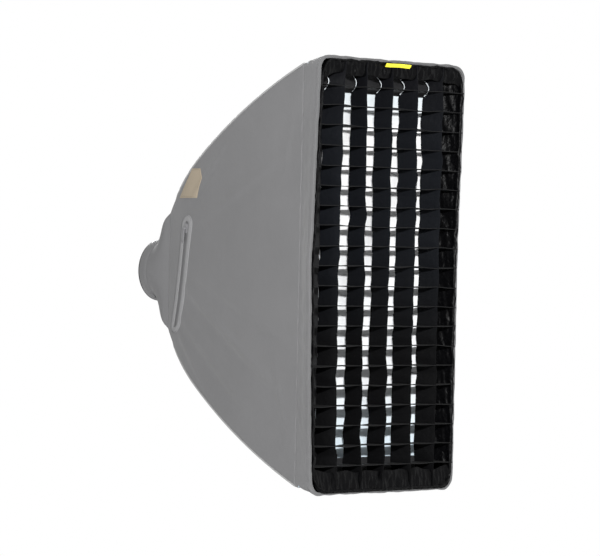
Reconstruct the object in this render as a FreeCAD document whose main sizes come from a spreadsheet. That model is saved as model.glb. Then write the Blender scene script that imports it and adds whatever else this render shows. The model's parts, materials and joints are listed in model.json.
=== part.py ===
"""Strip softbox with a fabric grid, held at its speed ring.

Frame: the origin is the centre of the light mount's bore on the rear seat plane.
+Y points out of the rear, where the light leaves the mount. The diffuser faces -Y.
+Z is along the long side of the face, +X is to the right as seen from the front.
Depths are measured forwards from the seat plane, so a depth d lies at y = -d.
"""
import FreeCAD, Part
import math
import os
import re
import Sketcher

SIZES = {
    # face and body of the box
    "face_width": 460,
    "face_height": 915,
    "total_depth": 680,
    "lip_depth": 58,
    "lip_flare": 16,
    "lip_corner": 30,
    "lip_rear_corner": 8,
    "lip_split": 60,
    "cloth": 1.4,
    "body_gap": 0.3,
    "shoulder_depth": 95,
    "shoulder_width": 120,
    "shoulder_height": 266,
    "knee_depth": 234,
    "knee_width": 236,
    "knee_height": 496,
    "top_front_bow": 2145,
    "top_rear_bow": 710,
    "side_front_bow": 3174,
    "side_rear_bow": 840,
    # speed ring and its light insert
    "ring_radius": 68,
    "ring_wall": 7,
    "ring_depth": 32,
    "ring_bevel": 7,
    "plate_depth": 8,
    "flange_depth": 14,
    "bore_radius": 43,
    "insert_neck": 47.5,
    "journal": 51.5,
    "flange": 56,
    "run_gap": 0.08,
    "insert_height": 8,
    "journal_step": 0.5,
    "lug_radius": 51,
    "lug_half_width": 9,
    "lug_thickness": 4,
    "retainer_bore": 46,
    "retainer_thickness": 4,
    "retainer_screw": 1.5,
    "retainer_circle": 58.5,
    "screw_bite": 4,
    "screw_head": 2,
    "knob_depth": 10.5,
    "knob_shaft": 2.5,
    "knob_radius": 9,
    "knob_length": 14,
    # hinge brackets, pins and rib yokes
    "bracket_screw": 2,
    "bracket_plate": 6,
    "bracket_margin": 0.5,
    "bracket_reach": 0.78,
    "ear_inside": 14,
    "ear_thickness": 6,
    "ear_radius": 9,
    "pin_depth": 75,
    "pin_height": 96,
    "pin_radius": 4,
    "pin_head": 6,
    "pin_head_thickness": 1.7,
    "lug_gap": 0.4,
    "yoke_half_width": 54,
    "yoke_rear_wall": 6.5,
    "yoke_front_wall": 10,
    # ribs and what holds their tips
    "rib_radius": 3,
    "rib_inset_side": 10,
    "rib_inset_top": 12,
    "rib_grip": 20,
    "rib_steps": 12,
    "rib_sides": 16,
    "rib_tip_length": 45,
    "rib_tip_setback": 49,
    "tip_radius": 5,
    "tip_length": 22,
    "pocket_radius": 11,
    "pocket_length": 36,
    # collar that closes the rear of the body
    "collar_depth": 36,
    "collar_start": 22,
    "collar_ease": 0.7,
    "collar_middle_depth": 70,
    "collar_middle_width": 128,
    "collar_middle_height": 220,
    "band_start": 24,
    "band_end": 33,
    "band_thickness": 2.4,
    # inner baffle
    "baffle_depth": 380,
    "baffle_width": 220,
    "baffle_height": 460,
    "sheet": 1,
    "strap_width": 20,
    "strap_height": 215,
    "strap_lap": 22,
    "strap_reach": 70,
    # front diffuser
    "diffuser_gap": 4,
    "hem_width": 14,
    "hem_thickness": 2,
    # fabric grid
    "grid_proud": 8,
    "grid_length": 50,
    "grid_wall": 1.2,
    "grid_corner": 40,
    "grid_strip": 1,
    "grid_play": 0.15,
    "grid_columns": 6,
    "grid_rows": 21,
    "end_columns": 140,
    "end_rows": 120.8,
    "tab_width": 79,
    "tab_height": 15,
    "tab_centre": 9.4,
    "tab_thickness": 1.3,
    # side zip and rib tab
    "zip_depth": 168,
    "zip_height": 236,
    "zip_lean": 0.19,
    "zip_middle": -2,
    "welt_half_width": 25,
    "welt_slot": 9,
    "welt_thickness": 1.6,
    "tape_half_width": 17,
    "coil_half_width": 3,
    "coil_proud": 0.9,
    "slider_width": 14,
    "slider_length": 22,
    "slider_height": 3.2,
    "slider_start": 96,
    "slider_gap": 0.4,
    "post_width": 1.4,
    "pull_pin": 1.1,
    "pull_play": 0.06,
    "pull_lift": 2.8,
    "pull_eye": 2.3,
    "pull_eye_width": 4.6,
    "pull_length": 30,
    "pull_width": 7,
    "pull_thickness": 1.4,
    "patch_thickness": 1.2,
    "patch_gap": 0.1,
}

doc = FreeCAD.newDocument("StripSoftbox")
sheet = doc.addObject("Spreadsheet::Sheet", "Sizes")
for row, (word, value) in enumerate(SIZES.items(), start=1):
    sheet.set("A%d" % row, word)
    sheet.set("B%d" % row, str(value))
    sheet.setAlias("B%d" % row, word)
doc.recompute()

NODES = {}


def size(word):
    """A size of the sheet as a plain number, in millimetres."""
    return float(sheet.get(word))


def bound(words):
    """An expression written with the sheet's words, as FreeCAD reads it."""
    return re.sub(r"[a-z_]{3,}", lambda m: "Sizes." + m.group() if m.group() in SIZES else m.group(), words)


def vector(x, y, z):
    return FreeCAD.Vector(x, y, z)


def node(thing, name):
    """Names a finished piece. The name is its label and its file's name."""
    thing.Label = name
    NODES[name] = thing
    return thing


def new_body(name):
    return doc.addObject("PartDesign::Body", name + "_body")


def origin_part(body, role):
    return [feature for feature in body.Origin.OriginFeatures if feature.Role == role][0]


def new_sketch(body, plane, lift="0", shift=("0", "0")):
    """A sketch on one of the body's own planes, lifted along the plane's normal.

    XY_Plane has x, y across it and +Z as normal, XZ_Plane has x, z and -Y,
    YZ_Plane has y, z and +X.
    """
    sketch = body.newObject("Sketcher::SketchObject", body.Name + "_sketch")
    sketch.AttachmentSupport = [(origin_part(body, plane), "")]
    sketch.MapMode = "FlatFace"
    sketch.setExpression("AttachmentOffset.Base.x", bound(shift[0]))
    sketch.setExpression("AttachmentOffset.Base.y", bound(shift[1]))
    sketch.setExpression("AttachmentOffset.Base.z", bound(lift))
    return sketch


def number(sketch, words):
    value = sketch.evalExpression(bound(str(words)))
    return float(getattr(value, "Value", value))


def pin_down(sketch, edge, end, x, y):
    """Binds a point of the sketch to two expressions."""
    spot = sketch.getPoint(edge, end)
    for kind, now, words in (("DistanceX", spot.x, x), ("DistanceY", spot.y, y)):
        index = sketch.addConstraint(Sketcher.Constraint(kind, -1, 1, edge, end, now))
        sketch.setExpression("Constraints[%d]" % index, bound(str(words)))


def arc_centre(start, end, radius, turn):
    """Centre of the shorter arc from start to end. turn is +1 anticlockwise, -1 clockwise."""
    half = (end - start) * 0.5
    rise = math.sqrt(max(radius**2 - half.Length**2, 0))
    side = vector(-half.y, half.x, 0).normalize()
    return start + half + side * (rise * turn)


def outline(sketch, corners):
    """Draws a closed outline.

    A corner is (x, y), or (x, y, radius, turn) where the edge that leaves it is an arc.
    """
    spots = [vector(number(sketch, c[0]), number(sketch, c[1]), 0) for c in corners]
    ends = []
    for i, corner in enumerate(corners):
        start, end = spots[i], spots[(i + 1) % len(spots)]
        if len(corner) == 2:
            ends.append((sketch.addGeometry(Part.LineSegment(start, end)), 1, 2))
            continue
        radius, turn = number(sketch, corner[2]), corner[3]
        centre = arc_centre(start, end, radius, turn)
        first, last = (start, end) if turn > 0 else (end, start)
        angles = [math.atan2(p.y - centre.y, p.x - centre.x) for p in (first, last)]
        circle = Part.Circle(centre, vector(0, 0, 1), radius)
        edge = sketch.addGeometry(Part.ArcOfCircle(circle, angles[0], angles[1]))
        index = sketch.addConstraint(Sketcher.Constraint("Radius", edge, radius))
        sketch.setExpression("Constraints[%d]" % index, bound(str(corner[2])))
        ends.append((edge, 1, 2) if turn > 0 else (edge, 2, 1))
    for i, (edge, begin, finish) in enumerate(ends):
        after, after_begin, _ = ends[(i + 1) % len(ends)]
        sketch.addConstraint(Sketcher.Constraint("Coincident", edge, finish, after, after_begin))
        pin_down(sketch, edge, begin, corners[i][0], corners[i][1])
    return sketch


def rectangle(sketch, left, right, low, high):
    return outline(sketch, [(left, low), (right, low), (right, high), (left, high)])


def rounded(sketch, half_x, half_z, corner):
    """A rectangle about the sketch's centre with rounded corners."""
    x, z, r = half_x, half_z, corner
    return outline(
        sketch,
        [
            (f"{x}", f"-({z}) + ({r})"),
            (f"{x}", f"{z} - ({r})", r, 1),
            (f"{x} - ({r})", f"{z}"),
            (f"-({x}) + ({r})", f"{z}", r, 1),
            (f"-({x})", f"{z} - ({r})"),
            (f"-({x})", f"-({z}) + ({r})", r, 1),
            (f"-({x}) + ({r})", f"-({z})"),
            (f"{x} - ({r})", f"-({z})", r, 1),
        ],
    )


def circle(sketch, x, y, radius):
    spot = vector(number(sketch, x), number(sketch, y), 0)
    edge = sketch.addGeometry(Part.Circle(spot, vector(0, 0, 1), number(sketch, radius)))
    index = sketch.addConstraint(Sketcher.Constraint("Radius", edge, number(sketch, radius)))
    sketch.setExpression("Constraints[%d]" % index, bound(str(radius)))
    pin_down(sketch, edge, 3, x, y)
    return sketch


def feature(body, kind, profile, **settings):
    made = body.newObject("PartDesign::" + kind, body.Name + "_" + kind)
    made.Profile = profile
    for name, value in settings.items():
        if isinstance(value, str) and name in ("Length", "Length2", "Angle"):
            made.setExpression(name, bound(value))
        else:
            setattr(made, name, value)
    doc.recompute()
    return made


def pad(body, sketch, length, both=False, back=False):
    return feature(body, "Pad", sketch, Length=length, Midplane=both, Reversed=back)


def pocket(body, sketch, length, both=False, back=False):
    """Cuts against the sketch's normal, or along it with back."""
    before = body.Shape.Volume
    made = feature(body, "Pocket", sketch, Length=length, Midplane=both, Reversed=back)
    if body.Shape.Volume > before - 1e-3:
        raise RuntimeError("%s cuts nothing" % made.Name)
    return made


def turned(body, sketch, axis):
    return feature(body, "Revolution", sketch, ReferenceAxis=(sketch, [axis]), Angle="360")


def pattern(body, originals, kind, direction, count, length="360"):
    """Repeats features: kind is LinearPattern along, or PolarPattern about, an axis of the body."""
    made = body.newObject("PartDesign::" + kind, body.Name + "_" + kind)
    made.Originals = originals
    holder = (origin_part(body, direction), [""])
    if kind == "LinearPattern":
        made.Direction = holder
        made.setExpression("Length", bound(length))
    else:
        made.Axis = holder
        made.setExpression("Angle", bound(length))
    made.setExpression("Occurrences", bound(count))
    body.Tip = made
    doc.recompute()
    return made


def loft(body, kind, sections):
    made = body.newObject("PartDesign::" + kind, body.Name + "_" + kind)
    made.Profile = sections[0]
    made.Sections = sections[1:]
    made.Ruled = True
    doc.recompute()
    return made


def mirrored(source, name, normal, base=(0, 0, 0)):
    """The same piece on the other side of a plane through the origin."""
    made = doc.addObject("Part::Mirroring", name + "_mirror")
    made.Source = source
    made.Base = vector(*base)
    made.Normal = vector(*normal)
    doc.recompute()
    return node(made, name)


def boolean(kind, name, base, tool):
    made = doc.addObject("Part::" + kind, name + "_" + kind)
    made.Base = base
    made.Tool = tool
    doc.recompute()
    return made


def plain_shape(name, shape):
    made = doc.addObject("Part::Feature", name + "_shape")
    made.Shape = shape
    return node(made, name)


COLLAR_SIDES = 24
SQUARE_POWER = 0.1
UP_DOWN = (0, 0, 1)
LEFT_RIGHT = (1, 0, 0)

# ---- light insert, speed ring, retaining ring ----------------------------------------------------

body = new_body("bayonet_ring")
sketch = new_sketch(body, "XY_Plane")
outline(
    sketch,
    [
        ("bore_radius", "-flange_depth + run_gap"),
        ("flange", "-flange_depth + run_gap"),
        ("flange", "-plate_depth - run_gap"),
        ("journal", "-plate_depth - run_gap"),
        ("journal", "-journal_step"),
        ("insert_neck", "-journal_step"),
        ("insert_neck", "insert_height"),
        ("bore_radius", "insert_height"),
    ],
)
turned(body, sketch, "V_Axis")
sketch = new_sketch(body, "XZ_Plane", "-insert_height")
outline(
    sketch,
    [
        ("-lug_half_width", "(bore_radius + insert_neck) / 2"),
        ("lug_half_width", "(bore_radius + insert_neck) / 2"),
        ("lug_half_width", "sqrt(lug_radius ^ 2 - lug_half_width ^ 2)", "lug_radius", 1),
        ("-lug_half_width", "sqrt(lug_radius ^ 2 - lug_half_width ^ 2)"),
    ],
)
lug = pad(body, sketch, "lug_thickness")
pattern(body, [lug], "PolarPattern", "Y_Axis", "3")
node(body, "bayonet_ring")

body = new_body("speed_ring")
sketch = new_sketch(body, "XY_Plane")
inner = "ring_radius - ring_wall"
outline(
    sketch,
    [
        ("journal + run_gap", "-plate_depth"),
        ("flange + run_gap", "-plate_depth"),
        ("flange + run_gap", "-flange_depth"),
        (inner, "-flange_depth"),
        (inner, "-ring_depth"),
        ("ring_radius", "-ring_depth"),
        ("ring_radius", "-ring_bevel"),
        ("ring_radius - ring_bevel", "0"),
        ("journal + run_gap", "0"),
    ],
)
turned(body, sketch, "V_Axis")
sketch = new_sketch(body, "XZ_Plane", "flange_depth")
retainer_place = "retainer_circle * sqrt(2) / 2"
circle(sketch, retainer_place, retainer_place, "retainer_screw")
hole = pocket(body, sketch, "screw_bite")
pattern(body, [hole], "PolarPattern", "Y_Axis", "4")
sketch = new_sketch(body, "XZ_Plane", "ring_depth")
screw_place = "(ring_radius - ring_wall / 2) * sqrt(2) / 2"
circle(sketch, screw_place, screw_place, "bracket_screw")
hole = pocket(body, sketch, "screw_bite * 2")
pattern(body, [hole], "PolarPattern", "Y_Axis", "4")
sketch = new_sketch(body, "YZ_Plane", "ring_radius + 1")
circle(sketch, "-knob_depth", "0", "knob_shaft + run_gap")
pocket(body, sketch, "ring_radius + 1 - flange + 1")
node(body, "speed_ring")

body = new_body("retaining_ring")
sketch = new_sketch(body, "XZ_Plane", "flange_depth")
circle(sketch, "0", "0", "ring_radius - ring_wall - run_gap")
circle(sketch, "0", "0", "retainer_bore")
pad(body, sketch, "retainer_thickness")
sketch = new_sketch(body, "XZ_Plane", "flange_depth + retainer_thickness")
circle(sketch, retainer_place, retainer_place, "retainer_screw + run_gap")
hole = pocket(body, sketch, "retainer_thickness + 1")
pattern(body, [hole], "PolarPattern", "Y_Axis", "4")
node(body, "retaining_ring")


def screws(name, circle_radius, shank, seat, bite):
    """Four equal screws on a circle, midway between the axes, seated at the depth given."""
    body = new_body(name)
    sketch = new_sketch(body, "XY_Plane", "0", (circle_radius, "0"))
    outline(
        sketch,
        [
            ("0", f"-({seat}) - screw_head"),
            (f"{shank} * 1.6", f"-({seat}) - screw_head"),
            (f"{shank} * 1.6", f"-({seat})"),
            (f"{shank}", f"-({seat})"),
            (f"{shank}", f"-({seat}) + ({bite})"),
            ("0", f"-({seat}) + ({bite})"),
        ],
    )
    screw = turned(body, sketch, "V_Axis")
    pattern(body, [screw], "PolarPattern", "Y_Axis", "4")
    body.Placement = FreeCAD.Placement(vector(0, 0, 0), FreeCAD.Rotation(vector(0, 1, 0), 45))
    return node(body, name)


screws(
    "retainer_screws",
    "retainer_circle",
    "retainer_screw",
    "flange_depth + retainer_thickness",
    "retainer_thickness + screw_bite - 0.5",
)
screws(
    "bracket_screws",
    "ring_radius - ring_wall / 2",
    "bracket_screw",
    "ring_depth + bracket_plate",
    "bracket_plate + screw_bite * 2 - 0.5",
)

body = new_body("lock_knob")
sketch = new_sketch(body, "XY_Plane", "0", ("0", "-knob_depth"))
outline(
    sketch,
    [
        ("flange + body_gap", "0"),
        ("ring_radius + 3 + knob_length", "0"),
        ("ring_radius + 3 + knob_length", "knob_radius - 2"),
        ("ring_radius + 1 + knob_length", "knob_radius"),
        ("ring_radius + 5", "knob_radius"),
        ("ring_radius + 3", "knob_radius - 2"),
        ("ring_radius + 3", "knob_shaft * 1.8"),
        ("ring_radius + 0.5", "knob_shaft * 1.8"),
        ("ring_radius + 0.5", "knob_shaft"),
        ("flange + body_gap", "knob_shaft"),
    ],
)
turned(body, sketch, "H_Axis")
sketch = new_sketch(body, "YZ_Plane", "ring_radius + 4 + knob_length")
for quarter in range(4):
    across = "knob_radius * %d" % round(math.cos(quarter * math.pi / 2))
    up = "knob_radius * %d" % round(math.sin(quarter * math.pi / 2))
    circle(sketch, f"-knob_depth + {across}", up, "knob_shaft")
pocket(body, sketch, "knob_length - 1")
node(body, "lock_knob")

# ---- hinge brackets, pins and yokes --------------------------------------------------------------

body = new_body("upper_bracket")
plate_out = "(ring_radius - bracket_margin)"
plate_in = "(ring_radius - ring_wall + bracket_margin)"
sketch = new_sketch(body, "XZ_Plane", "ring_depth")
low = "sqrt(1 - bracket_reach ^ 2)"
outline(
    sketch,
    [
        (f"{plate_out} * bracket_reach", f"{plate_out} * {low}", plate_out, 1),
        (f"-{plate_out} * bracket_reach", f"{plate_out} * {low}"),
        (f"-{plate_in} * bracket_reach", f"{plate_in} * {low}", plate_in, -1),
        (f"{plate_in} * bracket_reach", f"{plate_in} * {low}"),
    ],
)
pad(body, sketch, "bracket_plate")
slope = "ear_radius * sqrt(2) / 2"
for side in (1, -1):
    lift = "ear_inside" if side > 0 else "-ear_inside - ear_thickness"
    sketch = new_sketch(body, "YZ_Plane", lift)
    outline(
        sketch,
        [
            ("-ring_depth - bracket_plate + 1", "ring_radius - ring_wall"),
            ("-ring_depth - bracket_plate + 1", "ring_radius - ring_wall + 2"),
            (f"-pin_depth + {slope}", f"pin_height + {slope}", "ear_radius", 1),
            ("-pin_depth - ear_radius * 0.819", "pin_height - ear_radius * 0.574"),
            ("-ring_depth - bracket_plate - 6", "ring_radius - ring_wall - 9"),
            ("-ring_depth - bracket_plate + 1", "ring_radius - ring_wall - 9"),
        ],
    )
    pad(body, sketch, "ear_thickness")
sketch = new_sketch(body, "YZ_Plane")
circle(sketch, "-pin_depth", "pin_height", "pin_radius")
pocket(body, sketch, "ear_inside * 4", both=True)
sketch = new_sketch(body, "XZ_Plane", "ring_depth + bracket_plate")
circle(sketch, screw_place, screw_place, "bracket_screw + run_gap")
circle(sketch, f"-{screw_place}", screw_place, "bracket_screw + run_gap")
pocket(body, sketch, "bracket_plate + 1")
node(body, "upper_bracket")
mirrored(body, "lower_bracket", UP_DOWN)

body = new_body("upper_hinge_pin")
sketch = new_sketch(body, "XY_Plane", "pin_height", ("0", "-pin_depth"))
pin_end = "(ear_inside + ear_thickness)"
outline(
    sketch,
    [
        (f"-{pin_end} - pin_head_thickness", "0"),
        (f"{pin_end} + pin_head_thickness", "0"),
        (f"{pin_end} + pin_head_thickness", "pin_head"),
        (pin_end, "pin_head"),
        (pin_end, "pin_radius"),
        (f"-{pin_end}", "pin_radius"),
        (f"-{pin_end}", "pin_head"),
        (f"-{pin_end} - pin_head_thickness", "pin_head"),
    ],
)
turned(body, sketch, "H_Axis")
node(body, "upper_hinge_pin")
mirrored(body, "lower_hinge_pin", UP_DOWN)


def arc_height(depth, near, far, radius):
    """Height of an outward bowed arc at a depth. near and far are (depth, height) of its ends."""
    start, end = vector(near[0], near[1], 0), vector(far[0], far[1], 0)
    centre = arc_centre(start, end, radius, -1)
    return centre.y + math.sqrt(radius**2 - (depth - centre.x) ** 2)


def surface(depth, across):
    """Half width (across) or half height of the body at a depth, and its slope."""
    kind, word = ("side", "width") if across else ("top", "height")
    shoulder = (size("shoulder_depth"), size("shoulder_" + word) / 2)
    knee = (size("knee_depth"), size("knee_" + word) / 2)
    front = (size("total_depth") - size("lip_depth"), size("face_" + word) / 2 - size("lip_flare"))
    if depth < knee[0]:
        ends = (shoulder, knee, size(kind + "_rear_bow"))
    else:
        ends = (knee, front, size(kind + "_front_bow"))
    here = arc_height(depth, *ends)
    return here, arc_height(depth + 0.5, *ends) - arc_height(depth - 0.5, *ends)


def rib_point(depth):
    """Centre of the upper right rib at a depth, and its direction there."""
    wide, wide_slope = surface(depth, True)
    tall, tall_slope = surface(depth, False)
    spot = vector(wide - size("rib_inset_side"), -depth, tall - size("rib_inset_top"))
    return spot, vector(wide_slope, -1, tall_slope).normalize()


def facet(*corners):
    return Part.Face(Part.makePolygon(list(corners) + [corners[0]]))


def skinned(outlines):
    """A solid in flat triangles over outlines that have as many corners each."""
    faces = [facet(*outlines[0]), facet(*outlines[-1])]
    for near, far in zip(outlines, outlines[1:]):
        for i in range(len(near)):
            j = (i + 1) % len(near)
            faces.append(facet(near[i], near[j], far[i]))
            faces.append(facet(near[j], far[j], far[i]))
    solid = Part.makeSolid(Part.makeShell(faces))
    if solid.Volume < 0:
        solid.reverse()
    return solid


tip_start = size("total_depth") - size("lip_depth") - size("rib_tip_setback")
rib_foot, rib_rise = rib_point(size("shoulder_depth"))
rib_end, rib_way = rib_point(tip_start)
rib_root = rib_foot - rib_rise * size("rib_grip")
rib_tip = rib_end + rib_way * size("rib_tip_length")


def rib_ring(spot, way):
    """Corners of the rib's many-sided section at a spot of its line."""
    sides = int(size("rib_sides"))
    start = vector(0, way.z, -way.y).normalize() * size("rib_radius")
    turns = [FreeCAD.Rotation(way, 360 * i / sides) for i in range(sides)]
    return [spot + turn.multVec(start) for turn in turns]


def rib_solid():
    """A rod along the rib's line, from its root to its tip."""
    steps = int(size("rib_steps"))
    run = (tip_start - size("shoulder_depth")) / steps
    rings = [rib_ring(rib_root, rib_rise), rib_ring(rib_foot, rib_rise)]
    for i in range(1, steps):
        rings.append(rib_ring(*rib_point(size("shoulder_depth") + i * run)))
    return skinned(rings + [rib_ring(rib_end, rib_way), rib_ring(rib_tip, rib_way)])


rib = rib_solid()


def flipped(shape, left, down):
    if left:
        shape = shape.mirror(vector(0, 0, 0), vector(1, 0, 0))
    if down:
        shape = shape.mirror(vector(0, 0, 0), vector(0, 0, 1))
    return shape


plain_shape("upper_right_rib", rib)
plain_shape("upper_left_rib", flipped(rib, True, False))
plain_shape("lower_right_rib", flipped(rib, False, True))
plain_shape("lower_left_rib", flipped(rib, True, True))

# The yoke's bar is a slanted block round the ribs' roots, and a lug in its middle turns on the pin.
along = vector(0, rib_rise.y, rib_rise.z).normalize()
square = vector(0, along.z, -along.y)
slant_start = rib_root
slant_end = rib_foot + along * 2
rear_wall, front_wall = size("yoke_rear_wall"), size("yoke_front_wall")
bar = [
    slant_start + square * rear_wall,
    slant_start - square * front_wall,
    slant_end - square * front_wall,
    slant_end + square * rear_wall,
]
pin_spot = vector(0, -size("pin_depth"), size("pin_height"))
wide = size("yoke_half_width")


def prism(corners, half_width):
    """A block between two planes x = constant, with the given outline in y and z."""
    flat = [vector(-half_width, p.y, p.z) for p in corners]
    return Part.Face(Part.makePolygon(flat + flat[:1])).extrude(vector(2 * half_width, 0, 0))


def rod(radius, start, direction, length):
    return Part.makeCylinder(radius, length, start, direction)


lug_half = size("ear_inside") - size("lug_gap")
ear = size("ear_radius")
eye = rod(ear, pin_spot - vector(lug_half, 0, 0), vector(1, 0, 0), 2 * lug_half)
reach = vector(0, rib_root.y - pin_spot.y, rib_root.z - pin_spot.z).normalize()
cross = vector(0, -reach.z, reach.y)
arm = prism([pin_spot + cross * ear, bar[1], bar[0], pin_spot - cross * ear], lug_half)
yoke = prism(bar, wide).fuse([eye])
yoke = yoke.fuse([arm]).removeSplitter()
bore = rod(size("pin_radius") + size("run_gap") / 2, pin_spot - vector(wide, 0, 0), vector(1, 0, 0), wide * 2)
socket = rod(size("rib_radius"), rib_root, rib_rise, size("rib_grip") * 3)
sockets = [flipped(socket, left, False) for left in (False, True)]
yoke = yoke.cut([bore] + sockets)
plain_shape("upper_yoke", yoke)
plain_shape("lower_yoke", flipped(yoke, False, True))

# ---- shell: side, top and bottom panels ----------------------------------------------------------

FRONT = "(total_depth - lip_depth)"


def bowed(word, inwards, outwards, rear):
    """Corners of a bowed band, from its inner face to its outer face, for one pair of panels.

    word is width for the sides and height for the top. A corner is (half size, depth, arc).
    """
    kind = "side" if word == "width" else "top"
    front = f"(face_{word} / 2 - lip_flare)"
    knee = f"knee_{word} / 2"
    shoulder = f"shoulder_{word} / 2"
    return [
        (f"{shoulder} + {outwards}", rear, f"{kind}_rear_bow", 1),
        (f"{knee} + {outwards}", "knee_depth", f"{kind}_front_bow", 1),
        (f"{front} + {outwards}", FRONT, None, 0),
        (f"{front} + {inwards}", FRONT, f"{kind}_front_bow", -1),
        (f"{knee} + {inwards}", "knee_depth", f"{kind}_rear_bow", -1),
        (f"{shoulder} + {inwards}", rear, None, 0),
    ]


def side_band(name, inwards, outwards, sign):
    """A tall band bowed like the side panels. sign is -1 for the left side, +1 for the right."""
    body = new_body(name)
    sketch = new_sketch(body, "XY_Plane")
    corners = []
    for half, depth, radius, turn in bowed("width", inwards, outwards, "shoulder_depth"):
        spot = (f"{sign} * ({half})", f"-({depth})")
        corners.append(spot + ((radius, -turn * sign) if radius else ()))
    outline(sketch, corners)
    pad(body, sketch, "face_height", both=True)
    return body


def top_band(name, inwards, outwards, rear="(shoulder_depth + body_gap)"):
    body = new_body(name)
    sketch = new_sketch(body, "YZ_Plane")
    corners = []
    for half, depth, radius, turn in bowed("height", inwards, outwards, rear):
        corners.append((f"-({depth})", half) + ((radius, turn) if radius else ()))
    outline(sketch, corners)
    pad(body, sketch, "face_width", both=True)
    return body


def keep_inside(body, plane, corners):
    """Trims a band to an outline drawn square to it."""
    sketch = new_sketch(body, plane)
    rectangle(sketch, "-face_height * 2", "face_height * 2", "-face_height * 2", "face_height * 2")
    outline(sketch, corners)
    pocket(body, sketch, "face_height * 2", both=True)


def side_edges(inset):
    """Outline of a side panel seen from the side, in y and z."""
    upper = [
        ("-shoulder_depth", f"shoulder_height / 2 - {inset}", "top_rear_bow", 1),
        ("-knee_depth", f"knee_height / 2 - {inset}", "top_front_bow", 1),
        (f"-{FRONT}", f"face_height / 2 - lip_flare - {inset}"),
    ]
    lower = [
        (f"-{FRONT}", f"-(face_height / 2 - lip_flare - {inset})", "top_front_bow", 1),
        ("-knee_depth", f"-(knee_height / 2 - {inset})", "top_rear_bow", 1),
        ("-shoulder_depth", f"-(shoulder_height / 2 - {inset})"),
    ]
    return upper + lower


def top_edges(inset):
    """Outline of the top panel seen from above, in x and y."""
    right = [
        (f"shoulder_width / 2 - {inset}", "-shoulder_depth", "side_rear_bow", -1),
        (f"knee_width / 2 - {inset}", "-knee_depth", "side_front_bow", -1),
        (f"face_width / 2 - lip_flare - {inset}", f"-{FRONT}"),
    ]
    left = [
        (f"-(face_width / 2 - lip_flare - {inset})", f"-{FRONT}", "side_front_bow", -1),
        (f"-(knee_width / 2 - {inset})", "-knee_depth", "side_rear_bow", -1),
        (f"-(shoulder_width / 2 - {inset})", "-shoulder_depth"),
    ]
    return right + left


def leaning(half_width, half_length, radius):
    """A slot along the zip, seen from the side, with rounded ends. Corners are in y and z."""
    shape = []
    for end, sides in ((1, (1, -1)), (-1, (-1, 1))):
        for i, side in enumerate(sides):
            y = f"-zip_depth - zip_lean * {end} * ({half_length}) + {side} * ({half_width})"
            z = f"zip_middle + {end} * ({half_length})"
            shape.append((y, z, radius, 1) if i == 0 else (y, z))
    return shape


right_panel = side_band("right_panel", "-cloth", "0", 1)
keep_inside(right_panel, "YZ_Plane", side_edges("0"))
node(right_panel, "right_panel")

left_panel = side_band("left_panel", "-cloth", "0", -1)
keep_inside(left_panel, "YZ_Plane", side_edges("0"))
sketch = new_sketch(left_panel, "YZ_Plane")
outline(sketch, leaning("welt_slot", "zip_height / 2 - welt_slot", "welt_slot * 1.02"))
pocket(left_panel, sketch, "face_width * 2", both=True)
node(left_panel, "left_panel")

top_panel = top_band("top_panel", "-cloth * 1.15", "0")
keep_inside(top_panel, "XY_Plane", top_edges("(cloth + body_gap)"))
node(top_panel, "top_panel")
mirrored(top_panel, "bottom_panel", UP_DOWN)

# Thick copies of the shell, used to trim what is sewn to its inside.
outside_top = top_band("outside_top", "-cloth * 1.15", "40", "shoulder_depth - 20")
outside_right = side_band("outside_right", "-cloth", "40", 1)
outside_left = side_band("outside_left", "-cloth", "40", -1)


def lower_of(shape):
    return flipped(shape, False, True)


tip_start = rib_tip - rib_way * size("tip_length")
cap = rod(size("tip_radius"), tip_start, rib_way, size("tip_length") + 2)
cap = cap.cut(rod(size("rib_radius"), rib_end, rib_way, size("rib_tip_length")))
caps = Part.makeCompound([cap, flipped(cap, True, False)])
plain_shape("upper_rib_tips", caps)
plain_shape("lower_rib_tips", lower_of(caps))

pocket_start = rib_tip - rib_way * (size("pocket_length") - 4)
cup = rod(size("pocket_radius"), pocket_start, rib_way, size("pocket_length"))
cup = cup.cut(rod(size("tip_radius"), pocket_start - rib_way, rib_way, size("pocket_length") - 1))
shell_right = outside_right.Shape.copy()
shell_right.translate(vector(-size("body_gap"), 0, 0))
wide_stop, tall_stop, long_stop = 2 * size("face_width"), 2 * size("face_height"), size("total_depth")
stop_corner = vector(-wide_stop / 2, size("lip_depth") - 2 * long_stop, -tall_stop / 2)
front_stop = Part.makeBox(wide_stop, long_stop, tall_stop, stop_corner)
cup = cup.cut([outside_top.Shape, shell_right, front_stop])
cups = Part.makeCompound([cup, flipped(cup, True, False)])
plain_shape("upper_corner_pockets", cups)
plain_shape("lower_corner_pockets", lower_of(cups))

# ---- lips: the straight band round the face ------------------------------------------------------


def lip_half(word, depth, inset):
    """Half width or height of the flared lip's outside at a depth, less an inset."""
    return f"(face_{word} / 2 - (total_depth - ({depth})) * lip_flare / lip_depth - ({inset}))"


def tapered(body, near, far, inset, near_corner, far_corner, kind):
    """A tapered block parallel to the lip between two depths."""
    sections = []
    for depth, corner in ((near, near_corner), (far, far_corner)):
        sketch = new_sketch(body, "XZ_Plane", depth)
        rounded(sketch, lip_half("width", depth, inset), lip_half("height", depth, inset), corner)
        sections.append(sketch)
    return loft(body, kind, sections)


def lip_loop(name):
    body = new_body(name)
    corners = ("lip_rear_corner", "lip_corner")
    inner = ("(lip_rear_corner - cloth)", "(lip_corner - cloth)")
    tapered(body, FRONT, "total_depth", "0", corners[0], corners[1], "AdditiveLoft")
    tapered(body, FRONT, "total_depth", "cloth", inner[0], inner[1], "SubtractiveLoft")
    return body


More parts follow.
